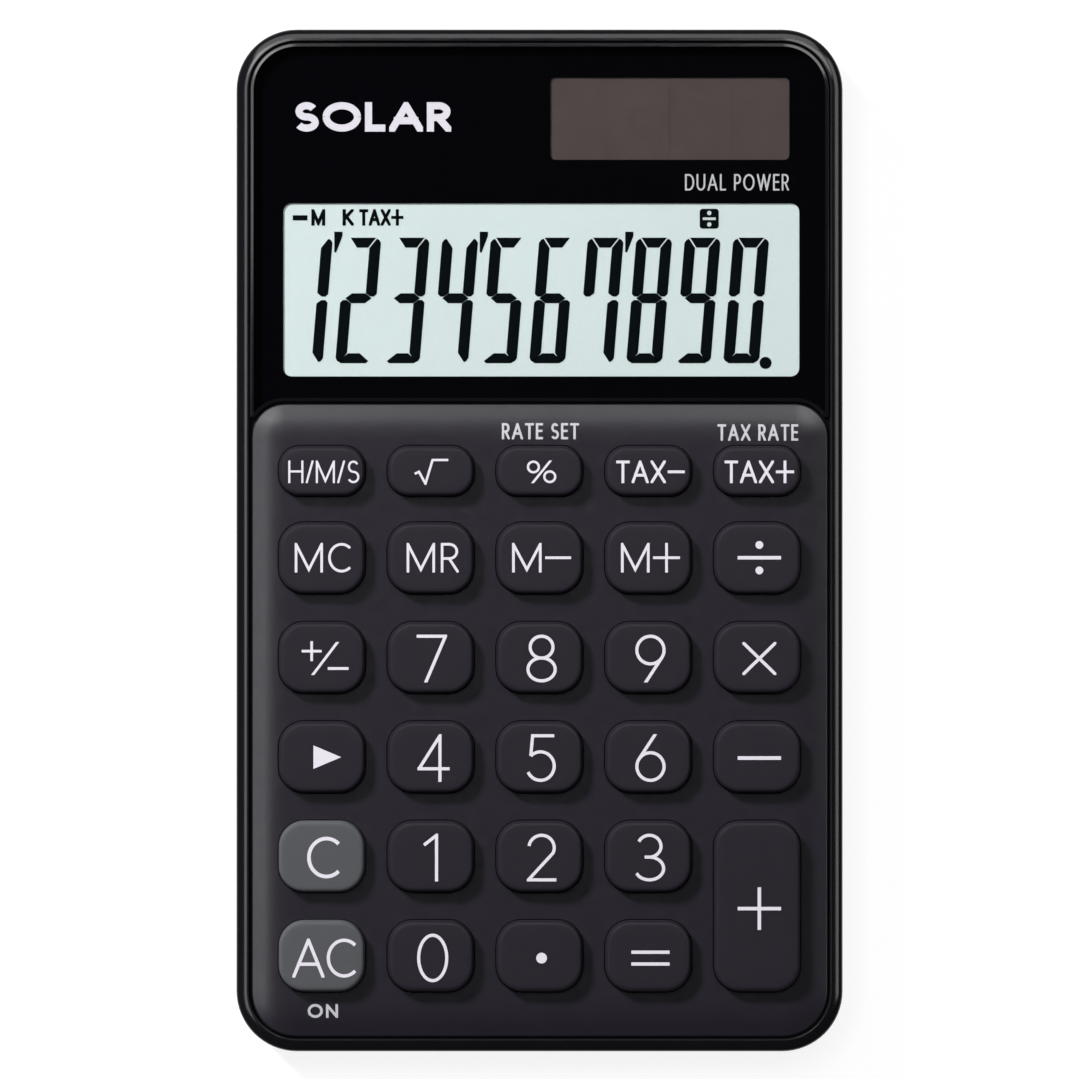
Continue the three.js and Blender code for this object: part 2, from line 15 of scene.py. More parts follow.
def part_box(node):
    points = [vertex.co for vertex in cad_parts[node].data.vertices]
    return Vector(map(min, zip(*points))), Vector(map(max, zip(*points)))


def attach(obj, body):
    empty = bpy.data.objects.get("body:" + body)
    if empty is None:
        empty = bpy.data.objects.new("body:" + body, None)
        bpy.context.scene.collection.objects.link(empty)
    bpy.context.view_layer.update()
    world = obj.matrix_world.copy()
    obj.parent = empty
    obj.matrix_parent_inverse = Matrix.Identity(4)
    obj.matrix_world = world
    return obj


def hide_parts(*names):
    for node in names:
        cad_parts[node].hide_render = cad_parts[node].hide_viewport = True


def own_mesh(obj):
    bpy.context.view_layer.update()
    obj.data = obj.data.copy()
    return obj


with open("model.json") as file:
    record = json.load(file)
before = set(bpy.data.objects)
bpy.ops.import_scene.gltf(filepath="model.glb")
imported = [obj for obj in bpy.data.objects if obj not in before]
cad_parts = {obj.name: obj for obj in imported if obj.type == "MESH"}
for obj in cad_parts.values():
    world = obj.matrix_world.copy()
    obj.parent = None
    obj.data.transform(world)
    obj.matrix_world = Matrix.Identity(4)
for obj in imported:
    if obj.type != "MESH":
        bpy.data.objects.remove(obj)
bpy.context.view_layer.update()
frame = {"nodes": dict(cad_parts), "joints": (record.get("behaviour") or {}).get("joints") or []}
MM = 0.001
HOUSING = "housing"


def box_mm(node):
    """A CAD node's lowest and highest corners, in millimetres."""
    low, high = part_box(node)
    return low / MM, high / MM


def plan(low, high):
    """A box seen from above: its middle's x and y, its width and its height."""
    return (low.x + high.x) / 2, (low.y + high.y) / 2, high.x - low.x, high.y - low.y


# ---- Sizes ----

CASE_LOW, CASE_HIGH = box_mm("front_case")
REAR_LOW = box_mm("rear_case")[0]
PANEL_LOW, PANEL_HIGH = box_mm("keypad_panel")
WINDOW_LOW, WINDOW_HIGH = box_mm("display_window")
GLASS_LOW, GLASS_HIGH = box_mm("lcd_front_glass")
SOLAR_LOW, SOLAR_HIGH = box_mm("solar_cell")
KEY_TOP = box_mm("key_5")[1].z

# The case's outline: its middle, width, length and corner.
CASE_PLAN = (0, 0, CASE_HIGH.x - CASE_LOW.x, CASE_HIGH.y - CASE_LOW.y, 7.0)
CASE_WALL = 1.8
RECESS_INSET = 1.5
PLATE_BOTTOM = 5.2
RECESS_FLOOR = 6.0
PARTING_Z = CASE_LOW.z
PARTING_GAP = 0.1
# The lips at which the case's halves meet: inset and top.
FRONT_LIP = (0.85, 4.1)
REAR_LIP = (0.95, 4.0)
REAR_FLOOR = 1.4
REAR_ROUND = 1.3

KEY_FLANGE = 0.7
KEY_CORNER = 3.0
SMALL_KEY_CORNER = 2.5
SMALL_KEY_HEIGHT = 7.0
KEY_GAP = 0.08

PANEL_TOP_CORNER = 3.9
PANEL_BOTTOM_CORNER = 5.3

# The openings in the window's print: middle, width, height and corner.
DISPLAY_OPENING = (0.2, 28.93, 59.6, 20.0, 1.0)
SOLAR_OPENING = (15.05, 48.7, 27.6, 9.5, 0.6)


# ---- Outlines and meshes ----


def arc(cx, cy, rx, ry, start, end, step=9):
    """Points along an ellipse, angles in degrees, in either direction."""
    count = max(2, math.ceil(abs(end - start) / step))
    angles = [math.radians(start + (end - start) * i / count) for i in range(count + 1)]
    return [(cx + rx * math.cos(a), cy + ry * math.sin(a)) for a in angles]


def rounded_rectangle(cx, cy, width, height, corners, steps=10):
    """Outline points, anticlockwise. corners is one radius, or those of the top and the bottom."""
    top, bottom = corners if isinstance(corners, tuple) else (corners, corners)
    x, y = width / 2, height / 2
    quarters = [(1, 1, top, 0), (-1, 1, top, 90), (-1, -1, bottom, 180), (1, -1, bottom, 270)]
    points = []
    for sx, sy, radius, start in quarters:
        centre_x, centre_y = cx + sx * (x - radius), cy + sy * (y - radius)
        points += arc(centre_x, centre_y, radius, radius, start, start + 90, 90 / steps)
    return points


def rectangle(cx, cy, width, height):
    x, y = width / 2, height / 2
    return [(cx - x, cy - y), (cx + x, cy - y), (cx + x, cy + y), (cx - x, cy + y)]


def stacked(outline, profile, steps=10):
    """The rings of a solid over a rounded rectangle. profile has insets and heights."""
    cx, cy, width, height, corner = outline
    rings = []
    for inset, z in profile:
        radius = max(corner - inset, 0.25)
        flat = rounded_rectangle(cx, cy, width - 2 * inset, height - 2 * inset, radius, steps)
        rings.append([(u, v, z) for u, v in flat])
    return rings


SMOOTH_ANGLE = 40


def new_object(name, vertices, faces, smooth_angle=SMOOTH_ANGLE):
    """A mesh object from millimetres, shaded smooth up to an angle."""
    mesh = bpy.data.meshes.new(name)
    mesh.from_pydata([(x * MM, y * MM, z * MM) for x, y, z in vertices], [], faces)
    mesh.validate()
    mesh.shade_smooth()
    mesh.set_sharp_from_angle(angle=math.radians(smooth_angle))
    piece = bpy.data.objects.new(name, mesh)
    bpy.context.scene.collection.objects.link(piece)
    return piece


def merge_solids(name, solids, smooth_angle=SMOOTH_ANGLE):
    """Several closed solids, clear of each other, as one mesh object.

    A solid is a list of rings with the same number of points, and is capped at both ends. Its faces
    point out where its rings run anticlockwise and its outside rises.
    """
    vertices, faces = [], []
    for rings in solids:
        base, count = len(vertices), len(rings[0])
        vertices += [p for ring in rings for p in ring]
        for k in range(len(rings) - 1):
            for i in range(count):
                j = (i + 1) % count
                a, b = base + k * count, base + (k + 1) * count
                faces.append((a + i, a + j, b + j, b + i))
        last = base + (len(rings) - 1) * count
        faces.append(tuple(reversed(range(base, base + count))))
        faces.append(tuple(range(last, last + count)))
    return new_object(name, vertices, faces, smooth_angle)


def loft(name, rings, smooth_angle=SMOOTH_ANGLE):
    """One closed solid through rings."""
    return merge_solids(name, [rings], smooth_angle)


def cut(piece, cutter):
    """Takes the cutter's solid out of the piece, and deletes the cutter."""
    modifier = piece.modifiers.new("cut", "BOOLEAN")
    modifier.operation = "DIFFERENCE"
    modifier.solver = "EXACT"
    modifier.object = cutter
    bpy.context.view_layer.update()
    evaluated = piece.evaluated_get(bpy.context.evaluated_depsgraph_get())
    mesh = bpy.data.meshes.new_from_object(evaluated)
    piece.modifiers.clear()
    old = piece.data
    piece.data = mesh
    mesh.name = old.name
    bpy.data.meshes.remove(old)
    bpy.data.objects.remove(cutter)
    mesh.shade_smooth()
    mesh.set_sharp_from_angle(angle=math.radians(SMOOTH_ANGLE))


def circle_ring(x, y, radius, z, count=48):
    turns = [2 * math.pi * i / count for i in range(count)]
    return [(x + radius * math.cos(turn), y + radius * math.sin(turn), z) for turn in turns]


def surface_normal(height_at, x, y, step=0.01):
    """The normal of a surface given by its height."""
    slope_x = (height_at(x + step, y) - height_at(x - step, y)) / (2 * step)
    slope_y = (height_at(x, y + step) - height_at(x, y - step)) / (2 * step)
    return Vector((-slope_x, -slope_y, 1)).normalized()


# ---- Flat regions ----


def anticlockwise(polygon):
    pairs = zip(polygon, polygon[1:] + polygon[:1], strict=True)
    area = sum(a[0] * b[1] - b[0] * a[1] for a, b in pairs)
    return polygon if area > 0 else polygon[::-1]


def region(add, take=(), within=(), rings=()):
    """The union of polygons add, without take, and inside within where given.

    It comes as points and triangles, whose edges follow rings.
    """
    points, polygons, edges = [], [], []
    for polygon in [*add, *take, *within]:
        polygon = anticlockwise(list(polygon))
        polygons.append(list(range(len(points), len(points) + len(polygon))))
        points += [Vector(p) for p in polygon]
    for ring in rings:
        first = len(points)
        points += [Vector(p) for p in ring]
        edges += [(first + i, first + (i + 1) % len(ring)) for i in range(len(ring))]
    everything, tolerance = 0, 1e-5
    found = delaunay_2d_cdt(points, edges, polygons, everything, tolerance, True)
    flat, triangles, sources = found[0], found[2], found[5]
    adds, takes = len(add), len(add) + len(take)
    kept = []
    for triangle, source in zip(triangles, sources, strict=True):
        inside = any(s < adds for s in source)
        taken = any(adds <= s < takes for s in source)
        bounded = not within or any(s >= takes for s in source)
        if inside and bounded and not taken:
            kept.append(tuple(triangle))
    used = sorted({i for t in kept for i in t})
    place = {old: new for new, old in enumerate(used)}
    return [tuple(flat[i]) for i in used], [tuple(place[i] for i in t) for t in kept]


def slab(name, shape, bottom, top, curved=False):
    """A closed solid on a region. top is a height, or gives one for x and y.

    A curved top takes its normals from top itself, so that its triangles don't show.
    """
    flat, triangles = shape
    top_at = top if callable(top) else lambda x, y: top
    count = len(flat)
    vertices = [(x, y, top_at(x, y)) for x, y in flat] + [(x, y, bottom) for x, y in flat]
    faces = list(triangles) + [(c + count, b + count, a + count) for a, b, c in triangles]
    edges = {(a, b) for t in triangles for a, b in zip(t, t[1:] + t[:1], strict=True)}
    sides = sorted((a, b) for a, b in edges if (b, a) not in edges)
    faces += [(b, a, a + count, b + count) for a, b in sides]
    piece = new_object(name, vertices, faces, smooth_angle=30)
    if curved:
        mesh = piece.data
        normals = []
        for face in mesh.polygons:
            on_top = face.index < len(triangles)
            for index in face.vertices:
                x, y = flat[index % count]
                normals.append(surface_normal(top, x, y) if on_top else face.normal)
        mesh.set_sharp_from_angle(angle=math.pi)
        mesh.normals_split_custom_set(normals)
    return piece


# ---- Lettering ----
# A glyph is drawn with strokes on a unit square, and has a width as a share of its height. A
# stroke ends square, unless it ends cut off ("cut") or runs on to its box's edge ("long").


def ellipse_strokes(cx=0.5, cy=0.5, rx=0.5, ry=0.5):
    halves = [arc(cx, cy, rx, ry, 0, 180), arc(cx, cy, rx, ry, 180, 360)]
    return [(half, "cut", "cut") for half in halves]


def line(*points, start="square", end="square"):
    return (list(points), start, end)


def slant(*points):
    return (list(points), "long", "long")


def curve(points, start="cut", end="cut"):
    return (points, start, end)


STEM = line((0, 0), (0, 1))
SIX = [*ellipse_strokes(0.5, 0.31, 0.5, 0.31), ([(0.64, 1), (0.09, 0.488)], "long", "cut")]
GLYPHS = {
    "0": (0.64, ellipse_strokes()),
    "1": (0.35, [line((1, 0), (1, 1), (0, 0.78), end="cut")]),
    "2": (0.62, [curve(arc(0.5, 0.72, 0.48, 0.28, 172, -25) + [(0, 0), (1, 0)], end="square")]),
    "3": (0.62, [
        curve(arc(0.46, 0.755, 0.44, 0.245, 155, -90)),
        curve(arc(0.46, 0.255, 0.54, 0.255, 90, -155)),
        line((0.28, 0.51), (0.46, 0.51), start="cut", end="cut"),
    ]),
    "4": (0.67, [line((0.72, 0), (0.72, 1), (0, 0.26), end="cut"), line((0, 0.26), (1, 0.26))]),
    "5": (0.62, [
        line((0.16, 1), (0.92, 1)),
        line((0.16, 1), (0.09, 0.546), end="cut"),
        curve(arc(0.46, 0.32, 0.52, 0.32, 135, -155)),
    ]),
    "6": (0.64, SIX),
    "7": (0.64, [([(0, 1), (1, 1), (0.3, 0)], "square", "long")]),
    "8": (0.64, ellipse_strokes(0.5, 0.755, 0.42, 0.245) + ellipse_strokes(0.5, 0.257, 0.5, 0.257)),
    "9": (0.64, [([(1 - u, 1 - v) for u, v in points], a, b) for points, a, b in SIX]),
    "A": (0.86, [slant((0, 0), (0.5, 1), (1, 0)), line((0.17, 0.33), (0.83, 0.33))]),
    "C": (0.86, [curve(arc(0.55, 0.5, 0.55, 0.5, 46, 314))]),
    "D": (0.8, [
        STEM,
        curve([(0, 1)] + arc(0.4, 0.5, 0.6, 0.5, 90, -90) + [(0, 0)], "square", "square"),
    ]),
    "E": (0.55, [STEM, line((0, 1), (1, 1)), line((0, 0.52), (0.9, 0.52)), line((0, 0), (1, 0))]),
    "H": (0.78, [STEM, line((1, 0), (1, 1)), line((0, 0.52), (1, 0.52))]),
    "K": (0.66, [STEM, slant((0, 0.36), (0.95, 1)), slant((0.28, 0.56), (1, 0))]),
    "L": (0.52, [STEM, line((0, 0), (1, 0))]),
    "M": (0.98, [line((0, 0), (0, 1), (0.5, 0.06), (1, 1), (1, 0))]),
    "N": (0.78, [line((0, 0), (0, 1), (1, 0), (1, 1))]),
    "O": (0.98, ellipse_strokes()),
    "P": (0.6, [STEM, curve([(0, 1)] + arc(0.5, 0.72, 0.5, 0.28, 90, -90) + [(0, 0.44)])]),
    "R": (0.62, [
        STEM,
        curve([(0, 1)] + arc(0.48, 0.735, 0.48, 0.265, 90, -90) + [(0, 0.47)]),
        ([(0.46, 0.47), (1, 0)], "cut", "long"),
    ]),
    "S": (0.62, [
        curve(arc(0.5, 0.75, 0.44, 0.25, 28, 270) + arc(0.5, 0.25, 0.5, 0.25, 90, -152)[1:]),
    ]),
    "T": (0.68, [line((0, 1), (1, 1)), line((0.5, 0), (0.5, 1))]),
    "U": (0.76, [([(0, 1)] + arc(0.5, 0.36, 0.5, 0.36, 180, 360) + [(1, 1)], "square", "square")]),
    "W": (1.2, [slant((0, 1), (0.26, 0), (0.5, 1), (0.74, 0), (1, 1))]),
    "X": (0.76, [slant((0, 0), (1, 1)), slant((0, 1), (1, 0))]),
    "/": (0.4, [slant((0, 0), (1, 1))]),
    "-": (0.86, [line((0, 0.5), (1, 0.5))]),
    "+": (0.92, [line((0, 0.5), (1, 0.5)), line((0.5, 0), (0.5, 1))]),
    "%": (1.3, [
        *ellipse_strokes(0.2, 0.74, 0.2, 0.26),
        *ellipse_strokes(0.8, 0.26, 0.2, 0.26),
        slant((0.2, 0), (0.8, 1)),
    ]),
    "sqrt": (1.33, [line((0, 0.42), (0.13, 0.5), (0.33, 0), (0.55, 1), (1, 1), start="cut")]),
    " ": (0.3, []),
}


def ribbon(points, stroke, start, end):
    """The outline of a smooth stroke of one width."""
    run_on = {"cut": 0, "square": stroke / 2, "long": stroke * 1.3}
    sharpest = 0.2
    path = [Vector(p) for p in points]
    path[0] = path[0] + (path[0] - path[1]).normalized() * run_on[start]
    path[-1] = path[-1] + (path[-1] - path[-2]).normalized() * run_on[end]
    left, right = [], []
    for i, here in enumerate(path):
        before = (here - path[i - 1]).normalized() if i else None
        after = (path[i + 1] - here).normalized() if i < len(path) - 1 else None
        ways = [way for way in (before, after) if way is not None]
        along = sum(ways, Vector((0, 0))).normalized()
        across = Vector((-along.y, along.x))
        reach = stroke / 2 / max(sharpest, along.dot(ways[0]))
        left.append(tuple(here + across * reach))
        right.append(tuple(here - across * reach))
    return left + right[::-1]


def glyph_polygons(name, x, y, width, height, stroke):
    """The polygons of one glyph in a box whose lower left corner is x, y."""
    strokes = []
    for points, start, end in GLYPHS[name][1]:
        placed = [
            (x + stroke / 2 + u * (width - stroke), y + stroke / 2 + v * (height - stroke))
            for u, v in points
        ]
        strokes.append(ribbon(placed, stroke, start, end))
    return strokes


def glyph(name, cx, cy, width, height, stroke):
    """One glyph, centred on cx, cy, as points and triangles."""
    polygons = glyph_polygons(name, cx - width / 2, cy - height / 2, width, height, stroke)
    return region(polygons, within=[rectangle(cx, cy, width, height)])


def text(string, cx, cy, width, height, stroke, gap=0.2):
    """A line of lettering, fitted to a width, as a list of regions."""
    total = sum(GLYPHS[c][0] for c in string) * height + gap * height * (len(string) - 1)
    scale = width / total
    x, parts = cx - width / 2, []
    for c in string:
        glyph_width = GLYPHS[c][0] * height * scale
        if GLYPHS[c][1]:
            parts.append(glyph(c, x + glyph_width / 2, cy, glyph_width, height, stroke))
        x += glyph_width + gap * height * scale
    return parts


def bar(cx, cy, width, height):
    return region([rectangle(cx, cy, width, height)])


def disc(cx, cy, radius):
    return region([arc(cx, cy, radius, radius, 0, 345, 15)])


def join(parts):
    """Several regions, clear of each other, as one."""
    flat, triangles = [], []
    for points, faces in parts:
        first = len(flat)
        flat += points
        triangles += [tuple(i + first for i in face) for face in faces]
    return flat, triangles


def moved(flat, dx, dy):
    return [(x + dx, y + dy) for x, y in flat]


# ---- Materials ----


class Shader:
    """The nodes of a material or of a world, built from small parts."""

    def __init__(self, name, kind="Material"):
        owners = {"Material": bpy.data.materials, "World": bpy.data.worlds}[kind]
        self.owner = owners.new(name)
        self.owner.use_nodes = True
        self.tree = self.owner.node_tree
        self.tree.nodes.clear()
        self.output = self.add(f"ShaderNodeOutput{kind}")
        self.place = self.add("ShaderNodeTexCoord").outputs["Object"]

    def add(self, kind, **inputs):
        node = self.tree.nodes.new(kind)
        for name, value in inputs.items():
            self.set(node, name.replace("_", " "), value)
        return node

    def set(self, node, name, value):
        """Links an input of a node to a socket, or gives it a value. name may be its number."""
        if isinstance(value, bpy.types.NodeSocket):
            self.tree.links.new(value, node.inputs[name])
        else:
            node.inputs[name].default_value = value

    def noise(self, scale, detail=3.0, roughness=0.55):
        """Cloudy variation from 0 to 1. scale is in features per metre."""
        inputs = {"Scale": scale, "Detail": detail, "Roughness": roughness, "Vector": self.place}
        return self.add("ShaderNodeTexNoise", **inputs).outputs["Fac"]

    def remap(self, value, low, high, start=0.3, end=0.7):
        """Takes a value from the range start to end into the range low to high."""
        inputs = {"From Min": start, "From Max": end, "To Min": low, "To Max": high}
        return self.add("ShaderNodeMapRange", Value=value, **inputs).outputs["Result"]

    def mix(self, factor, a, b):
        """Mixes two colours, each three numbers or a socket."""
        node = self.add("ShaderNodeMix")
        node.data_type = "RGBA"
        self.set(node, 0, factor)
        for number, colour in ((6, a), (7, b)):
            self.set(node, number, (*colour, 1) if isinstance(colour, tuple) else colour)
        return node.outputs[2]

    def varied(self, colour, amount, scale):
        """A colour with a slow, slight variation in its lightness."""
        dark, light = (tuple(c * (1 + change) for c in colour) for change in (-amount, amount))
        return self.mix(self.noise(scale), dark, light)

    def maths(self, operation, a, b):
        node = self.add("ShaderNodeMath")
        node.operation = operation
        self.set(node, 0, a)
        self.set(node, 1, b)
        return node.outputs[0]

    def bump(self, height, strength, distance):
        node = self.add("ShaderNodeBump", Strength=strength, Distance=distance, Height=height)
        return node.outputs["Normal"]

    def stretched_noise(self, scale, turn, **inputs):
        """Noise drawn out into lines. scale is in features per metre along each axis."""
        stretch = self.add("ShaderNodeMapping", Vector=self.place, Scale=scale, Rotation=(0, 0, turn))
        node = self.add("ShaderNodeTexNoise", Scale=1.0, Vector=stretch.outputs[0], **inputs)
        return node.outputs["Fac"]

    def principled(self, **inputs):
        return self.finish(self.add("ShaderNodeBsdfPrincipled", **inputs))

    def finish(self, shader):
        """The material or world, with this shader."""
        self.set(self.output, "Surface", shader.outputs[0])
        return self.owner


def srgb(r, g, b):
    """A display colour, from 0 to 255, as linear light."""

    def channel(c):
        c /= 255
        return c / 12.92 if c <= 0.04045 else ((c + 0.055) / 1.055) ** 2.4

    return (channel(r), channel(g), channel(b))


GRAIN_DEPTH = 0.00003


def moulded(name, colour, roughness, grain, grain_scale, spread=0.04, gloss=0.5):
    """Injection-moulded plastic: a fine eroded grain, and gloss that varies a little."""
    s = Shader(name)
    rough = s.remap(s.noise(700), roughness - spread, roughness + spread)
    normal = s.bump(s.noise(grain_scale, 2.0, 0.5), grain, GRAIN_DEPTH)
    surface = {"Roughness": rough, "IOR": 1.5, "Specular IOR Level": gloss, "Normal": normal}
    return s.principled(Base_Color=s.varied(colour, 0.05, 260), **surface)


def polished_black(name):
    """Piano-black plastic, with hairline wiping marks that show only in its reflections."""
    s = Shader(name)
    hairlines = s.stretched_noise((400, 6000, 400), 0.5, Detail=4.0, Roughness=0.6)
    base = s.varied(srgb(12, 11, 14), 0.1, 200)
    return s.principled(Roughness=s.remap(hairlines, 0.09, 0.15), IOR=1.5, Base_Color=base)


def ink(name, colour, roughness=0.5, gloss=0.5):
    """Pad-printed ink, with a slightly uneven film. Behind a clear plate it has no gloss."""
    s = Shader(name)
    rough = s.remap(s.noise(5000), roughness - 0.08, roughness + 0.08)
    base = s.varied(colour, 0.04, 3000)
    return s.principled(Roughness=rough, Specular_IOR_Level=gloss, Base_Color=base)


def clear(name, tint, ior=1.49, roughness=0.02):
    """A clear plate: it lets things behind it show unbent, and mirrors the room on its face."""
    s = Shader(name)
    fresnel = s.add("ShaderNodeFresnel", IOR=ior).outputs[0]
    front = s.maths("SUBTRACT", 1.0, s.add("ShaderNodeNewGeometry").outputs["Backfacing"])
    share = s.maths("MULTIPLY", fresnel, front)
    rough = s.remap(s.noise(900), roughness, roughness + 0.03)
    mirror = s.add("ShaderNodeBsdfGlossy", Roughness=rough)
    veil = s.mix(s.noise(80), tint, tuple(c * 0.985 for c in tint))
    through = s.add("ShaderNodeBsdfTransparent", Color=veil)
    mixed = s.add("ShaderNodeMixShader")
    for number, socket in enumerate((share, through.outputs[0], mirror.outputs[0])):
        s.set(mixed, number, socket)
    return s.finish(mixed)


def metal(name, colour, roughness, brush=(3000, 200, 3000)):
    """Plated metal with a fine drawn grain."""
    s = Shader(name)
    grain = s.stretched_noise(brush, 0.0, Detail=3.0)
    rough = s.remap(grain, roughness * 0.8, roughness * 1.25)
    base, normal = s.varied(colour, 0.05, 900), s.bump(grain, 0.15, 0.00002)
    return s.principled(Metallic=1.0, Roughness=rough, Base_Color=base, Normal=normal)


def board_material():
    """Solder mask over copper tracks: pale lines a fraction of a millimetre wide under green."""
    s = Shader("circuit_board_mask")
    cells = s.add("ShaderNodeTexBrick", Vector=s.place, Scale=240, Mortar_Size=0.012, Brick_Width=0.9)
    tracks = s.maths("SUBTRACT", 1.0, cells.outputs["Fac"])
    mask = s.mix(tracks, srgb(74, 128, 70), srgb(28, 84, 48))
    base = s.mix(s.noise(300), mask, srgb(24, 76, 44))
    rough, normal = s.remap(s.noise(1200), 0.3, 0.42), s.bump(tracks, 0.2, GRAIN_DEPTH)
    return s.principled(Roughness=rough, Base_Color=base, Normal=normal)


def zebra_material():
    """Silicone with thin carbon layers, set across its length."""
    s = Shader("zebra_layers")
    wave = s.add("ShaderNodeTexWave", Vector=s.place, Scale=1600.0, Distortion=0.3)
    stripe = s.remap(wave.outputs["Fac"], 0.0, 1.0, 0.35, 0.65)
    base = s.mix(stripe, srgb(40, 40, 42), srgb(190, 184, 172))
    return s.principled(Roughness=0.7, Base_Color=base)


def solar_material():
    """Amorphous silicon under glass: warm brown, with a faint cloudy sheen."""
    s = Shader("solar_silicon")
    base = s.mix(s.noise(150), srgb(58, 50, 49), srgb(64, 56, 54))
    return s.principled(Roughness=s.remap(s.noise(500), 0.16, 0.24), IOR=1.5, Base_Color=base)


GLOSS = polished_black("case_polished_black")
BACK = moulded("case_back_satin", srgb(30, 30, 32), 0.5, 0.5, 7000)
PANEL = moulded("keypad_panel_satin", srgb(27, 25, 31), 0.24, 0.12, 11000, 0.02)
KEY_DARK = moulded("key_matte_black", srgb(25, 22, 29), 0.42, 0.3, 10000, 0.03, 0.22)
KEY_GREY = moulded("key_matte_grey", srgb(64, 65, 68), 0.42, 0.3, 10000, 0.03, 0.22)
PRINT_WHITE = ink("legend_ink", srgb(184, 181, 189))
PRINT_GREY = ink("panel_ink", srgb(160, 160, 164))
PRINT_BLACK = ink("window_back_print", srgb(3, 3, 5), 0.5, 0.0)
WINDOW_CLEAR = clear("window_acrylic", (0.998, 0.998, 0.998))
LCD_CLEAR = clear("lcd_glass", (0.99, 0.998, 0.996), 1.2)
LCD_DARK = ink("lcd_segment", srgb(6, 10, 12), 0.5, 0.0)
LCD_PALE = ink("lcd_polariser", srgb(174, 186, 185), 0.6, 0.0)
SOLAR_BROWN = solar_material()
DOME_RUBBER = moulded("dome_rubber", srgb(112, 117, 120), 0.7, 0.3, 8000)
FOOT_RUBBER = moulded("foot_rubber", srgb(26, 26, 27), 0.8, 0.7, 5000)
SCREW_STEEL = metal("screw_zinc", srgb(176, 180, 184), 0.28)
NICKEL = metal("contact_nickel", srgb(196, 193, 182), 0.25)
CELL_STEEL = metal("button_cell_can", srgb(200, 198, 190), 0.22, (900, 900, 4000))


def dress(piece, material, slot_name, *replaced, body=HOUSING):
    """Gives a piece its material, its body and the nodes it stands for. slot_name is not used."""
    piece.data.materials.clear()
    piece.data.materials.append(material)
    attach(piece, body)
    if replaced:
        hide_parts(*replaced)
    return piece


# ---- Keys: places and legends ----

KEY_NODES = sorted(n for n in frame["nodes"] if n.startswith("key_"))


def key_places():
    places = {}
    for node in KEY_NODES:
        low, high = box_mm(node)
        x, y, width, height = plan(low, high)
        key = {"x": x, "y": y, "width": width - 2 * KEY_FLANGE, "height": height - 2 * KEY_FLANGE}
        small = key["height"] < SMALL_KEY_HEIGHT
        key["corner"] = SMALL_KEY_CORNER if small else KEY_CORNER
        places[node] = {**key, "bottom": low.z}
    return places


def widened(key, gap):
    """A key's middle, width, height and corner, with a gap all round."""
    size = (key["width"] + 2 * gap, key["height"] + 2 * gap, key["corner"] + gap)
    return (key["x"], key["y"], *size)


KEYS = key_places()
STROKE = 0.36
# The digits 1 to 9 on the keys: one height, and each one's width and shift to the right.
DIGIT_HEIGHT = 5.5
DIGIT_WIDTHS = (1.8, 3.4, 3.4, 3.7, 3.4, 3.5, 3.5, 3.5, 3.5)
DIGIT_SHIFTS = (-0.28, 0, 0, 0.1, 0, 0, -0.1, 0, 0)

# Each key's legend, about the key's middle. The whole printing sits a little to the right and down.
LEGEND_SHIFT = (0.24, -0.1)
LEGENDS = {
    "key_hms": text("H/M/S", 0, 0, 8.2, 2.6, 0.24, 0.12),
    "key_square_root": [glyph("sqrt", -0.2, 0, 4.0, 3.0, 0.27)],
    "key_percent": [glyph("%", 0, 0, 3.4, 2.6, 0.26)],
    "key_tax_minus": text("TAX-", 0, 0, 7.9, 2.6, 0.32, 0.1),
    "key_tax_plus": text("TAX+", 0, 0, 8.0, 2.6, 0.32, 0.1),
    "key_memory_clear": text("MC", 0, 0.15, 6.7, 3.4, 0.3, 0.18),
    "key_memory_recall": text("MR", 0, 0.15, 6.0, 3.4, 0.3, 0.2),
    "key_memory_minus": text("M-", 0, 0.15, 6.8, 3.4, 0.31, 0.12),
    "key_memory_plus": text("M+", 0, 0.15, 6.8, 3.4, 0.31, 0.12),
    "key_divide": [bar(0, 0.15, 5.0, 0.4), disc(0, 1.62, 0.45), disc(0, -1.32, 0.45)],
    "key_sign_change": [
        region(glyph_polygons("/", -1.4, -2.0, 3.1, 4.0, 0.3), within=[rectangle(0, 0, 4, 3.8)]),
        glyph("+", -1.4, 0.85, 2.3, 2.3, 0.3),
        bar(1.65, -1.15, 2.4, 0.32),
    ],
    "key_multiply": [glyph("X", 0, 0, 3.9, 3.8, STROKE)],
    "key_backspace": [region([[(-1.2, -1.25), (2.0, 0.1), (-1.2, 1.45)]])],
    "key_minus": [bar(0, 0, 5.0, 0.42)],
    "key_clear": [glyph("C", 0.12, 0, 4.1, 4.8, 0.42)],
    "key_plus": [glyph("+", 0, -0.15, 5.0, 4.9, 0.4)],
    "key_all_clear": text("AC", 0.2, -0.12, 7.65, 4.5, 0.38, 0.06),
    "key_0": [glyph("0", 0, -0.1, 3.6, 5.6, STROKE)],
    "key_decimal_point": [disc(0, -0.12, 0.62)],
    "key_equals": [bar(0, 0.56, 4.4, 0.38), bar(0, -0.8, 4.4, 0.38)],
}
for figure, digit_width, shift in zip("123456789", DIGIT_WIDTHS, DIGIT_SHIFTS, strict=True):
    LEGENDS[f"key_{figure}"] = [glyph(figure, shift, 0, digit_width, DIGIT_HEIGHT, STROKE)]

# A key's edge, from the flange up: inset from its outline, and height below the top.
KEY_EDGE = [
    (0.0, 1.12), (0.03, 0.7), (0.07, 0.42), (0.12, 0.25), (0.18, 0.14), (0.26, 0.07),
    (0.36, 0.03), (0.5, 0.008), (0.7, 0.0), (1.6, 0.0),
]
FLANGE_THICKNESS = 0.4
KEY_ROOF = 1.1
KEY_WALL = 1.2
PLUNGER_RADIUS = 1.4
FACE_DROP = 0.02
INK_DEPTH = 0.05


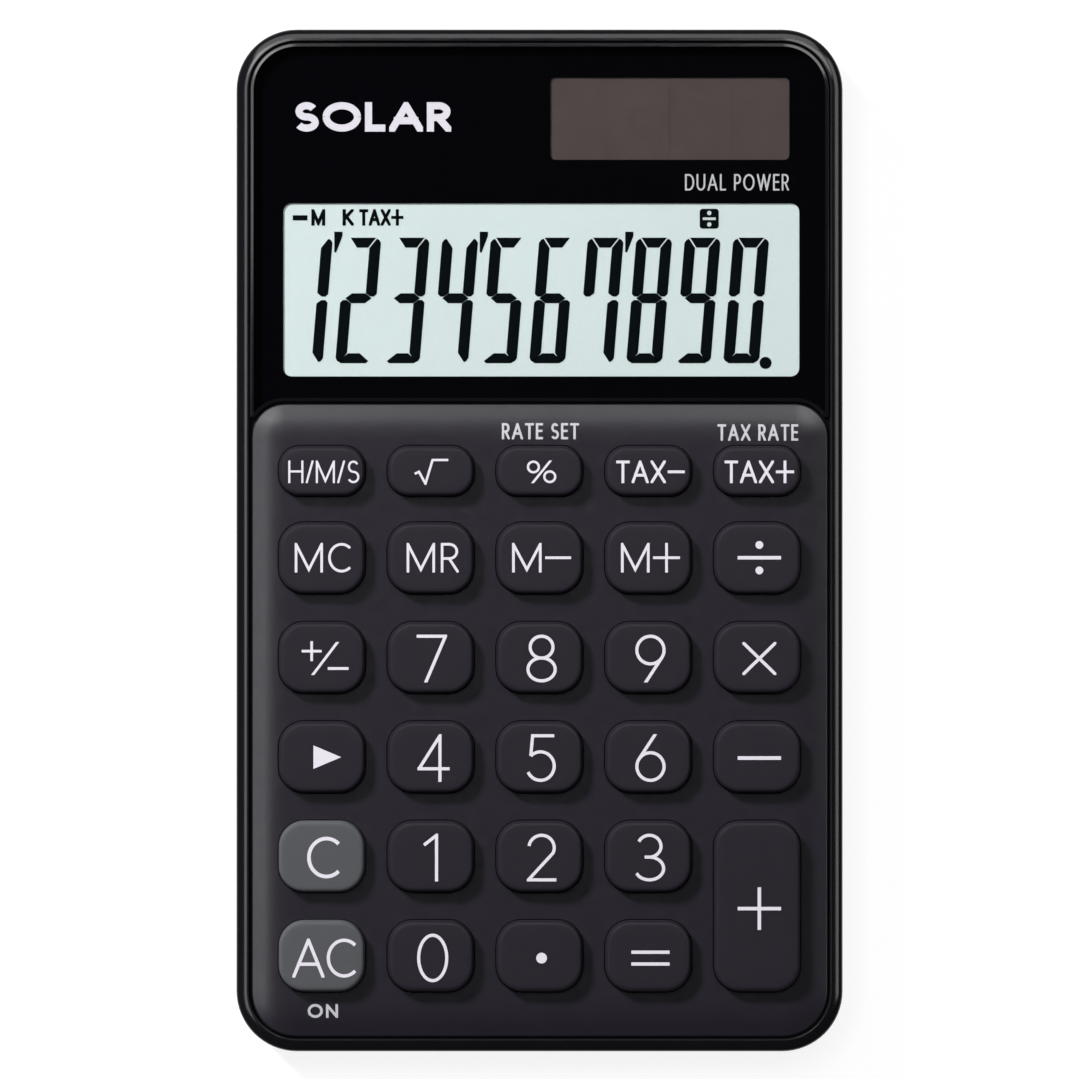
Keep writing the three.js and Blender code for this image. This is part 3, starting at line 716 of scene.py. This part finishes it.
def make_key(node):
    """A key, hollow around its plunger, and its legend, whose ink stands proud of the face."""
    key = KEYS[node]
    bottom, roof, top = key["bottom"], KEY_TOP - KEY_ROOF, KEY_TOP - FACE_DROP
    shoulder = bottom + FLANGE_THICKNESS
    plunger = (key["x"], key["y"], 2 * PLUNGER_RADIUS, 2 * PLUNGER_RADIUS, PLUNGER_RADIUS - 0.05)
    rings = stacked(plunger, ((0.15, bottom), (0, bottom + 0.15), (0, roof)))
    profile = [(KEY_WALL, roof), (KEY_WALL, bottom)]
    profile += [(-KEY_FLANGE, bottom), (-KEY_FLANGE, shoulder), (0, shoulder)]
    profile += [(inset, top - drop) for inset, drop in KEY_EDGE]
    rings += stacked(widened(key, 0), profile)
    grey = node in ("key_clear", "key_all_clear")
    material, slot_name = (KEY_GREY, "key_grey") if grey else (KEY_DARK, "key_black")
    piece = loft(node.replace("key_", "keytop_"), rings, smooth_angle=50)
    dress(piece, material, slot_name, node, body=node)

    flat, triangles = join(LEGENDS[node])
    flat = moved(flat, key["x"] + LEGEND_SHIFT[0], key["y"] + LEGEND_SHIFT[1])
    name = node.replace("key_", "legend_")
    legend = slab(name, (flat, triangles), KEY_TOP - INK_DEPTH, KEY_TOP)
    dress(legend, PRINT_WHITE, "key_black", body=node)


for key_node in KEY_NODES:
    make_key(key_node)


# ---- Front and rear case ----

# The rim's top, from the outside in: a round, a slope that gets flatter, and a fall to the recess.
# Inset from the outside, and height below the top.
RIM = [
    (0.0, 0.74), (0.02, 0.61), (0.06, 0.51), (0.12, 0.43), (0.2, 0.36), (0.3, 0.3), (0.4, 0.253),
    (0.5, 0.217), (0.65, 0.172), (0.8, 0.132), (0.94, 0.098), (1.0, 0.086), (1.1, 0.069),
    (1.2, 0.055), (1.3, 0.044), (1.35, 0.044), (1.4, 0.08), (1.45, 0.18), (RECESS_INSET, 0.42),
]
KEY_HOLE_GAP = 0.28
GLASS_HOLE_GAP = 0.3
SOLAR_HOLE_GAP = 0.5
PLATE_HOLE_CORNER = 0.4


def make_front():
    """The front case: the rim, the recess for panel and window, and the holes in its floor."""
    top = CASE_HIGH.z
    lip_inset, lip_top = FRONT_LIP
    profile = [(CASE_WALL, PLATE_BOTTOM), (CASE_WALL, lip_top), (lip_inset, lip_top)]
    profile += [(lip_inset, PARTING_Z), (0.1, PARTING_Z), (0.0, PARTING_Z + 0.1)]
    profile += [(inset, top - drop) for inset, drop in RIM]
    profile += [(RECESS_INSET, RECESS_FLOOR)]
    piece = loft("front_shell", stacked(CASE_PLAN, profile, 16))
    through = ((0, PLATE_BOTTOM - 1), (0, RECESS_FLOOR + 0.5))
    holes = [stacked(widened(key, KEY_HOLE_GAP), through, 6) for key in KEYS.values()]
    plates = ((GLASS_LOW, GLASS_HIGH, GLASS_HOLE_GAP), (SOLAR_LOW, SOLAR_HIGH, SOLAR_HOLE_GAP))
    for plate_low, plate_high, gap in plates:
        x, y, width, height = plan(plate_low, plate_high)
        outline = (x, y, width + gap, height + gap, PLATE_HOLE_CORNER)
        holes.append(stacked(outline, through, 6))
    cut(piece, merge_solids("front_holes", holes))
    dress(piece, GLOSS, "case_gloss", "front_case")


CORNERS = ("bottom_left", "top_left", "bottom_right", "top_right")
# A case screw's hole: the radii of its mouth, bore and shank, and the height of its seat.
SCREW_HOLE = (1.75, 1.6, 0.95, 1.25)
FOOT_GAP = 0.15


def upright(node):
    """The middle, radius and lowest and highest z of a round node that stands upright."""
    low, high = box_mm(node)
    x, y, width, _ = plan(low, high)
    return x, y, width / 2, low.z, high.z


def turned(x, y, profile, count=48):
    """The rings of a turned solid. profile has radii and heights."""
    return [circle_ring(x, y, radius, z, count) for radius, z in profile]


def make_rear():
    """The rear case: a tray with a rounded bottom edge, screw holes and foot recesses."""
    bottom, top = REAR_LOW.z, PARTING_Z - PARTING_GAP
    profile = arc(REAR_ROUND, bottom + REAR_ROUND, REAR_ROUND, REAR_ROUND, 270, 180, 11.25)
    lip_inset, lip_top = REAR_LIP
    profile += [(0.0, top - 0.1), (0.1, top), (lip_inset, top), (lip_inset, lip_top)]
    profile += [(CASE_WALL, lip_top), (CASE_WALL, REAR_FLOOR)]
    piece = loft("rear_shell", stacked(CASE_PLAN, profile, 16))
    below, above, chamfer = -1, 6, 0.15
    mouth, bore, shank, seat = SCREW_HOLE
    cutters = []
    for corner in CORNERS:
        x, y, *_ = upright(f"case_screw_{corner}")
        hole = [(mouth, below), (mouth, bottom), (bore, bottom + chamfer), (bore, seat)]
        cutters.append(turned(x, y, [*hole, (shank, seat), (shank, above)]))
        x, y, radius, _, foot_top = upright(f"foot_{corner}")
        recess, edge = radius + FOOT_GAP, radius + FOOT_GAP + 0.12
        hole = [(edge, below), (edge, bottom), (recess, bottom + 0.12), (recess, foot_top + 0.05)]
        cutters.append(turned(x, y, hole))
    cut(piece, merge_solids("rear_holes", cutters))
    dress(piece, BACK, "case_back", "rear_case")


def make_foot(corner):
    x, y, radius, _, top = upright(f"foot_{corner}")
    profile = [(radius - 0.25, 0.0), (radius - 0.12, 0.03), (radius - 0.03, 0.11)]
    profile += [(radius, 0.25), (radius, top)]
    foot = loft(f"foot_pad_{corner}", turned(x, y, profile))
    dress(foot, FOOT_RUBBER, "foot_rubber", f"foot_{corner}")


def make_screw(corner):
    """A self-tapping screw, head down, with a cross recess."""
    x, y, head, low, high = upright(f"case_screw_{corner}")
    length = high - low
    profile = [(head * 0.55, 0.0), (head * 0.8, 0.04), (head * 0.94, 0.13), (head, 0.3)]
    profile += [(head, 0.66), (head - 0.04, 0.7), (0.75, 0.7), (0.68, length - 0.5), (0.3, length)]
    screw = loft(f"screw_{corner}", turned(x, y, [(radius, low + z) for radius, z in profile], 32))
    for angle in (45, 135):
        cut(screw, loft("slot", cross_slot(x, y, low, angle)))
    dress(screw, SCREW_STEEL, "screw_steel", f"case_screw_{corner}")


def cross_slot(x, y, z, angle):
    """One arm of a cross recess, narrower at its bottom."""
    turn = math.radians(angle)
    rings = []
    for length, width, height in ((1.7, 0.36, -0.2), (1.7, 0.36, 0.0), (0.9, 0.22, 0.45)):
        ring = []
        for u, v in rectangle(0, 0, length, width):
            across = x + u * math.cos(turn) - v * math.sin(turn)
            ring.append((across, y + u * math.sin(turn) + v * math.cos(turn), z + height))
        rings.append(ring)
    return rings


make_front()
make_rear()
for corner_name in CORNERS:
    make_foot(corner_name)
    make_screw(corner_name)


# ---- Keypad panel ----

PANEL_PLAN = plan(PANEL_LOW, PANEL_HIGH)
# The panel's crown: a flank that slopes down to the edge, which a curve joins to the flat middle.
PILLOW = {"slope": 0.168, "flank": 1.2, "ease": 4.0}
PANEL_EDGE = {"drop": 0.12, "reach": 0.25}
HOLE_EDGE = {"drop": 0.03, "reach": 0.05}


def outside_by(x, y, shape, corners):
    """How far a point is outside a rounded rectangle. It is negative inside."""
    cx, cy, width, height = shape
    radius = corners[0] if y > cy else corners[1]
    qx = abs(x - cx) - width / 2 + radius
    qy = abs(y - cy) - height / 2 + radius
    return min(max(qx, qy), 0) + math.hypot(max(qx, 0), max(qy, 0)) - radius


def rounding(distance, edge):
    """The drop of a quarter-round edge at a distance from it."""
    if distance >= edge["reach"]:
        return 0.0
    across = 1 - max(distance, 0) / edge["reach"]
    return edge["drop"] * (1 - math.sqrt(max(0.0, 1 - across * across)))


def panel_z(x, y):
    inside = -outside_by(x, y, PANEL_PLAN, (PANEL_TOP_CORNER, PANEL_BOTTOM_CORNER))
    z = PANEL_HIGH.z - rounding(inside, PANEL_EDGE)
    eased = min(max(inside - PILLOW["flank"], 0) / PILLOW["ease"], 1)
    z -= PILLOW["slope"] * max(PILLOW["flank"] - max(inside, 0), 0)
    z -= PILLOW["slope"] * PILLOW["ease"] / 3 * (1 - eased) ** 3
    for key in KEYS.values():
        if abs(x - key["x"]) < key["width"] and abs(y - key["y"]) < key["height"]:
            *hole, corner = widened(key, KEY_GAP)
            z -= rounding(outside_by(x, y, hole, (corner, corner)), HOLE_EDGE)
    return z


def panel_ink_z(x, y):
    return panel_z(x, y) + 0.015


def panel_outline(inset, steps=12):
    cx, cy, width, height = PANEL_PLAN
    corners = (max(PANEL_TOP_CORNER - inset, 0.3), max(PANEL_BOTTOM_CORNER - inset, 0.3))
    return rounded_rectangle(cx, cy, width - 2 * inset, height - 2 * inset, corners, steps)


# The words on the panel: text, middle, width, height, stroke and gap.
PANEL_WORDS = [
    ("RATE SET", KEYS["key_percent"]["x"] + 0.1, 12.6, 8.9, 1.87, 0.27, 0.16),
    ("TAX RATE", KEYS["key_tax_plus"]["x"] + 0.1, 12.45, 9.3, 1.9, 0.27, 0.16),
    ("ON", KEYS["key_all_clear"]["x"] + 0.1, -54.3, 3.5, 1.6, 0.3, 0.2),
]


def make_panel():
    """The keypad panel. Rings of points beside its edges carry the curves."""
    holes, rings = [], []
    for key in KEYS.values():
        holes.append(rounded_rectangle(*widened(key, KEY_GAP), 8))
        for reach in (0.02, 0.05, 0.08):
            rings.append(rounded_rectangle(*widened(key, KEY_GAP + reach), 8))
    insets = [PANEL_EDGE["reach"] * share for share in (0.08, 0.24, 0.5, 0.75, 1, 1.15)]
    insets += [PILLOW["flank"] + PILLOW["ease"] * i / 8 for i in range(9)]
    rings += [panel_outline(inset) for inset in insets]
    shape = region([panel_outline(0)], holes, rings=rings)
    piece = slab("keypad_plate", shape, PANEL_LOW.z, panel_z, curved=True)
    dress(piece, PANEL, "panel", "keypad_panel")

    words = join([part for word in PANEL_WORDS for part in text(*word)])
    lettering = slab("panel_lettering", words, PANEL_LOW.z + 0.4, panel_ink_z)
    dress(lettering, PRINT_GREY, "panel")


make_panel()


# ---- Window, display and solar cell ----

# The window's plan: its sides and top, its corners, its lowest line, and the round notch that it
# leaves for each of the panel's top corners.
WINDOW = {
    "side": WINDOW_HIGH.x + 0.08,
    "top": WINDOW_HIGH.y + 0.08,
    "corner": 5.42,
    "tip": WINDOW_LOW.y,
    "notch_x": PANEL_HIGH.x - PANEL_TOP_CORNER,
    "notch_y": PANEL_HIGH.y - PANEL_TOP_CORNER,
    "notch": PANEL_TOP_CORNER + 0.2,
}
# The plate's edge: a small round, and a band that slopes down to it.
WINDOW_EDGE = {"round": 0.14, "drop": 0.12, "band": 0.42, "slope": 0.15}


def window_outline(inset=0.0):
    """The window's plan: round corners above, and below them two ears beside the panel."""
    side, top, tip = WINDOW["side"] - inset, WINDOW["top"] - inset, WINDOW["tip"] + inset
    corner, radius = WINDOW["corner"] - inset, WINDOW["notch"] + inset
    x, y = WINDOW["notch_x"], WINDOW["notch_y"]
    meets_side = math.degrees(math.acos((side - x) / radius))
    meets_tip = math.degrees(math.asin((tip - y) / radius))
    half = arc(x, y, radius, radius, 90, max(meets_side, meets_tip), 5)
    if meets_tip > meets_side:
        half.append((side, tip))
    half += arc(side - corner, top - corner, corner, corner, 0, 90, 5)
    return half + [(-x, y) for x, y in reversed(half)]


def window_inside(x, y):
    """How far a point is inside the window's edge."""
    x = abs(x)
    side, top, corner = WINDOW["side"], WINDOW["top"], WINDOW["corner"]
    qx, qy = x - side + corner, y - top + corner
    outer = corner - min(max(qx, qy), 0) - math.hypot(max(qx, 0), max(qy, 0))
    dx, dy = max(x - WINDOW["notch_x"], 0), y - WINDOW["notch_y"]
    return min(outer, math.hypot(dx, dy) - WINDOW["notch"], y - WINDOW["tip"])


def window_z(x, y):
    inside = max(window_inside(x, y), 0)
    band = WINDOW_EDGE["band"]
    z = WINDOW_HIGH.z - WINDOW_EDGE["slope"] * max(band - inside, 0)
    return z - rounding(inside, {"drop": WINDOW_EDGE["drop"], "reach": WINDOW_EDGE["round"]})


PRINT_TOP = WINDOW_LOW.z + 0.03


def make_window():
    """The clear plate, the black print behind it with its two openings, and the words on that.

    The plate's bevel has only black behind it, so it is black itself.
    """
    outline = window_outline()
    bevel = WINDOW_EDGE["band"] + 0.02
    rings = [window_outline(inset) for inset in (0.02, 0.05, 0.09, 0.14, 0.2, 0.4, bevel)]
    shape = region([outline], rings=rings)
    plate = slab("window_plate", shape, PRINT_TOP + 0.05, window_z, curved=True)
    dress(plate, WINDOW_CLEAR, "window", "display_window")
    plate.data.materials.append(GLOSS)
    for face in plate.data.polygons:
        middle = face.center / MM
        if window_inside(middle.x, middle.y) < bevel:
            face.material_index = 1

    openings = [rounded_rectangle(*opening, 6) for opening in (DISPLAY_OPENING, SOLAR_OPENING)]
    backing = slab("window_print", region([outline], openings), WINDOW_LOW.z, PRINT_TOP)
    dress(backing, PRINT_BLACK, "case_gloss")

    word = text("SOLAR", -19.25, 48.9, 18.1, 3.4, 0.82, 0.1)
    note = text("DUAL POWER", 22.8, 41.35, 12.0, 1.9, 0.2, 0.2)
    for name, parts, material in (("word", word, PRINT_WHITE), ("note", note, PRINT_GREY)):
        piece = slab(f"window_{name}", join(parts), PRINT_TOP + 0.005, PRINT_TOP + 0.03)
        dress(piece, material, "window")


# Seven-segment digits, drawn upright in a cell and then leaned over. LIT has each one's segments.
LCD = {"width": 4.15, "height": 14.5, "mid": 7.5, "upright": 1.28, "level": 1.15, "lean": 0.082}
LCD_PITCH = 5.6
LCD_BASE_Y = 20.46
LCD_FIRST_TOP_X = -25.94
# The separator after the first, fourth and seventh digits, its gap to the digit and its height.
COMMA = [(0.0, 0.0), (0.22, 0.0), (0.95, 1.9), (0.95, 2.4), (0.0, 2.4)]
COMMA_GAP = 1.35
COMMA_Y = 33.25
INDICATOR_Y = 37.3


def segment_shapes():
    """The outlines of the seven segments, in the order a to g, in an upright cell."""
    w, h, m = LCD["width"], LCD["height"], LCD["mid"]
    t, s = LCD["upright"], LCD["level"]
    upper_left = [(0, m + 0.5), (0.3, m + 0.2), (0.75, m + 0.2), (t, m + 0.6)]
    upper_left += [(t, h - s - 0.05), (0.5, h - 0.12), (0.22, h - 0.25), (0, h - 0.6)]
    lower_left = [(0, m - 0.5), (0.3, m - 0.2), (0.75, m - 0.2), (t, m - 0.6)]
    lower_left += [(t, s + 0.05), (0.5, 0.12), (0.22, 0.25), (0, 0.6)]
    flip = [(w - x, y) for x, y in upper_left]
    flop = [(w - x, y) for x, y in lower_left]
    top = [(0.6, h), (w - 0.6, h), (w - t - 0.14, h - s), (t + 0.14, h - s)]
    bottom = [(0.34, 0.26), (0.62, 0), (w - 0.62, 0), (w - 0.34, 0.26)]
    bottom += [(w - t - 0.14, s), (t + 0.14, s)]
    middle = [(0.55, m), (t, m + s / 2), (w - t, m + s / 2), (w - 0.55, m)]
    middle += [(w - t, m - s / 2), (t, m - s / 2)]
    shapes = (top, flip, flop, bottom, lower_left, upper_left, middle)
    return dict(zip("abcdefg", shapes, strict=True))


LIT = "bc abged abgcd fgbc afgcd afgedc fabc abcdefg abcdfg abcdef".split()


def leaned(polygon, x, y):
    return [(x + u + LCD["lean"] * v, y + v) for u, v in polygon]


def make_display():
    """Everything dark on the display, as one layer on the front glass."""
    shapes = segment_shapes()
    first_x = LCD_FIRST_TOP_X - LCD["width"] / 2 - LCD["lean"] * LCD["height"]
    cells = [first_x + index * LCD_PITCH for index in range(10)]
    parts = []
    for x, lit in zip(cells, LIT, strict=True):
        parts += [region([leaned(shapes[name], x, LCD_BASE_Y)]) for name in lit]
    for x in cells[:7:3]:
        parts.append(region([moved(COMMA, x + LCD["width"] + COMMA_GAP, COMMA_Y)]))
    parts.append(disc(26.1, 20.5, 0.7))
    parts.append(bar(-27.65, 37.25, 1.7, 0.6))
    parts += text("M", -25.55, INDICATOR_Y, 1.6, 1.9, 0.38)
    parts += text("K", -22.1, INDICATOR_Y, 1.3, 1.9, 0.38)
    parts += text("TAX+", -18.27, INDICATOR_Y, 5.1, 1.9, 0.36, 0.04)
    sign = rounded_rectangle(19.6, 37.15, 2.2, 2.3, 0.35, 4)
    dots = [arc(19.6, 37.15 + dy, 0.26, 0.26, 0, 330, 30) for dy in (0.66, -0.66)]
    parts.append(region([sign], [*dots, rectangle(19.6, 37.15, 1.5, 0.3)]))
    z = GLASS_HIGH.z
    segments = slab("lcd_segments", join(parts), z + 0.004, z + 0.02)
    dress(segments, LCD_DARK, "lcd_glass")


GROOVE = {"width": 0.08, "depth": 0.02, "inset": 0.4}


def make_solar():
    """The solar cell: a glass plate with a fine groove between its strips."""
    cx, cy, width, height = plan(SOLAR_LOW, SOLAR_HIGH)
    top = SOLAR_HIGH.z
    profile = [(0.06, SOLAR_LOW.z), (0, SOLAR_LOW.z + 0.06), (0, top - 0.06), (0.06, top)]
    piece = loft("solar_face", stacked((cx, cy, width, height, 0.3), profile, 3))
    strips, grooves = 4, []
    for i in range(1, strips):
        x = cx - width / 2 + width * i / strips
        flat = rectangle(x, cy, GROOVE["width"], height - 2 * GROOVE["inset"])
        grooves.append([[(u, v, z) for u, v in flat] for z in (top - GROOVE["depth"], top + 1)])
    cut(piece, merge_solids("cell_gaps", grooves))
    dress(piece, SOLAR_BROWN, "solar", "solar_cell")


make_window()
make_display()
make_solar()


# ---- Rubber domes ----

SHEET_LOW, SHEET_HIGH = box_mm("rubber_dome_sheet")
SHEET_TOP = SHEET_LOW.z + 0.5
DOME = {"base": 3.1, "small_base": 2.6, "button": 1.7, "hollow": 1.2, "wall": 0.5}
BOSS_HOLE_RADIUS = 1.75
PRESS_JOINTS = {joint["child"]: joint for joint in frame["joints"]}


def dome_base(key):
    return DOME["small_base"] if key["height"] < SMALL_KEY_HEIGHT else DOME["base"]


def make_dome(node):
    """The dome under a key."""
    key, joint = KEYS[node], PRESS_JOINTS[node]
    bottom, top = SHEET_LOW.z, SHEET_HIGH.z
    base, button, wall = dome_base(key), DOME["button"], DOME["wall"]
    profile = [(DOME["hollow"], top - wall), (base - wall, bottom), (base, bottom)]
    profile += [(base, SHEET_TOP), (base - 0.12, SHEET_TOP + 0.2), (button + 0.25, top - 0.45)]
    profile += [(button, top - 0.3), (button, top - 0.08), (button - 0.08, top)]
    dome = loft(node.replace("key_", "dome_"), turned(key["x"], key["y"], profile, 32))
    dress(dome, DOME_RUBBER, "dome_rubber")
    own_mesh(dome)


def make_sheet():
    """The flat of the rubber sheet, with holes for the domes and for the front case's bosses."""
    outline = rectangle(*plan(SHEET_LOW, SHEET_HIGH))
    rings = [circle_ring(key["x"], key["y"], dome_base(key) + 0.02, 0) for key in KEYS.values()]
    for node in sorted(frame["nodes"]):
        if node.startswith("board_screw"):
            x, y, *_ = upright(node)
            rings.append(circle_ring(x, y, BOSS_HOLE_RADIUS, 0))
    sheet_plan = region([outline], [[(x, y) for x, y, _ in ring] for ring in rings])
    sheet = slab("dome_sheet", sheet_plan, SHEET_LOW.z, SHEET_TOP)
    dress(sheet, DOME_RUBBER, "dome_rubber", "rubber_dome_sheet")


make_sheet()
for key_node in KEY_NODES:
    make_dome(key_node)


# ---- CAD nodes that keep their shape ----

INNER_MATERIALS = {
    "lcd_front_glass": LCD_PALE,
    "lcd_rear_glass": LCD_CLEAR,
    "lcd_reflector": LCD_PALE,
    "lcd_holder": moulded("holder_grey", srgb(150, 151, 153), 0.5, 0.3, 6000),
    "zebra_connector": zebra_material(),
    "circuit_board": board_material(),
    "controller_chip": moulded("epoxy_drop", srgb(22, 22, 23), 0.3, 0.2, 1500),
    "capacitor": moulded("ceramic_body", srgb(172, 141, 100), 0.45, 0.2, 9000),
    "button_cell": CELL_STEEL,
    "cell_contact_positive": NICKEL,
    "cell_contact_negative": NICKEL,
    "solar_lead_positive": moulded("lead_red", srgb(176, 34, 34), 0.4, 0.1, 3000),
    "solar_lead_negative": moulded("lead_black", srgb(28, 28, 28), 0.4, 0.1, 3000),
}
for node_name in frame["nodes"]:
    if node_name.startswith("board_screw"):
        INNER_MATERIALS[node_name] = SCREW_STEEL
for node_name, node_material in INNER_MATERIALS.items():
    node_mesh = frame["nodes"][node_name].data
    node_mesh.materials.clear()
    node_mesh.materials.append(node_material)


# ---- Room, lights and camera ----


FLOOR_SIDE = 6000


def make_floor():
    """A pale floor that glows evenly, as a light table does, and takes only a faint shadow."""
    corners = rectangle(0, 0, FLOOR_SIDE, FLOOR_SIDE)
    floor = new_object("floor", [(x, y, 0) for x, y in corners], [(0, 1, 2, 3)])
    s = Shader("floor_paper")
    base = s.mix(s.noise(6), (0.24, 0.24, 0.24), (0.26, 0.26, 0.26))
    glow = {"Emission Color": (1, 1, 1, 1), "Emission Strength": 0.86}
    paper = s.principled(Roughness=0.9, Specular_IOR_Level=0.1, Base_Color=base, **glow)
    floor.data.materials.append(paper)


def make_world():
    """A grey room that darkens overhead, so that what faces up has little to mirror."""
    s = Shader("studio", "World")
    split = s.add("ShaderNodeSeparateXYZ", Vector=s.add("ShaderNodeTexCoord").outputs["Generated"])
    ramp = s.add("ShaderNodeValToRGB", Fac=split.outputs["Z"])
    levels = ((0.0, (0.15, 0.15, 0.155)), (0.45, (0.07, 0.07, 0.073)), (0.96, (0.016, 0.016, 0.018)))
    stops = ramp.color_ramp.elements
    stops.new(levels[1][0])
    for stop, (position, colour) in zip(stops, levels, strict=True):
        stop.position = position
        stop.color = (*colour, 1)
    bpy.context.scene.world = s.finish(s.add("ShaderNodeBackground", Color=ramp.outputs[0]))


def softbox(name, azimuth, zenith, rise, length, power, shift=0.0):
    """An area light a metre off, aimed at the object. Its rise is measured towards straight up.

    azimuth is from +X, and zenith is from straight up. Its length runs level, and so does its shift.
    """
    a, z = math.radians(azimuth), math.radians(zenith)
    light = bpy.data.lights.new(name, "AREA")
    light.shape = "RECTANGLE"
    light.size = length
    light.size_y = rise
    light.energy = power
    lamp = bpy.data.objects.new(name, light)
    back = Vector((math.sin(z) * math.cos(a), math.sin(z) * math.sin(a), math.cos(z)))
    level = Vector((-math.sin(a), math.cos(a), 0))
    turn = Matrix((level, back.cross(level), back)).transposed().to_4x4()
    lamp.matrix_world = Matrix.Translation(back + level * shift) @ turn
    bpy.context.scene.collection.objects.link(lamp)
    return lamp


def make_lights():
    """A key light that casts the shadows, and strips that only the edges mirror to the camera."""
    key = softbox("key_top_left", 135, 63, 0.16, 0.16, 26.8)
    key.visible_glossy = False
    softbox("strip_left", 170, 21, 0.2, 0.7, 1.15)
    softbox("strip_top_low", 94, 33.3, 0.24, 0.9, 1.55)
    for side, shift in (("left", 0.25), ("right", -0.25)):
        softbox(f"strip_top_{side}", 90, 19.0, 0.24, 0.36, 1.25, shift)
    softbox("strip_right", 12, 34.6, 0.15, 0.6, 0.72)


VIEW_SIDE = 124.5
VIEW_MIDDLE_Y = 0.1


def make_camera():
    """A long lens straight above, whose picture is VIEW_SIDE wide at the case's top."""
    camera = bpy.data.cameras.new("camera")
    camera.sensor_width = 36
    camera.lens = 300
    camera.clip_start = 0.01
    camera.clip_end = 20
    distance = VIEW_SIDE * camera.lens / camera.sensor_width
    holder = bpy.data.objects.new("camera", camera)
    holder.location = (0, VIEW_MIDDLE_Y * MM, (CASE_HIGH.z + distance) * MM)
    bpy.context.scene.collection.objects.link(holder)
    bpy.context.scene.camera = holder


make_floor()
make_world()
make_lights()
make_camera()
bpy.context.scene.view_settings.view_transform = "Standard"
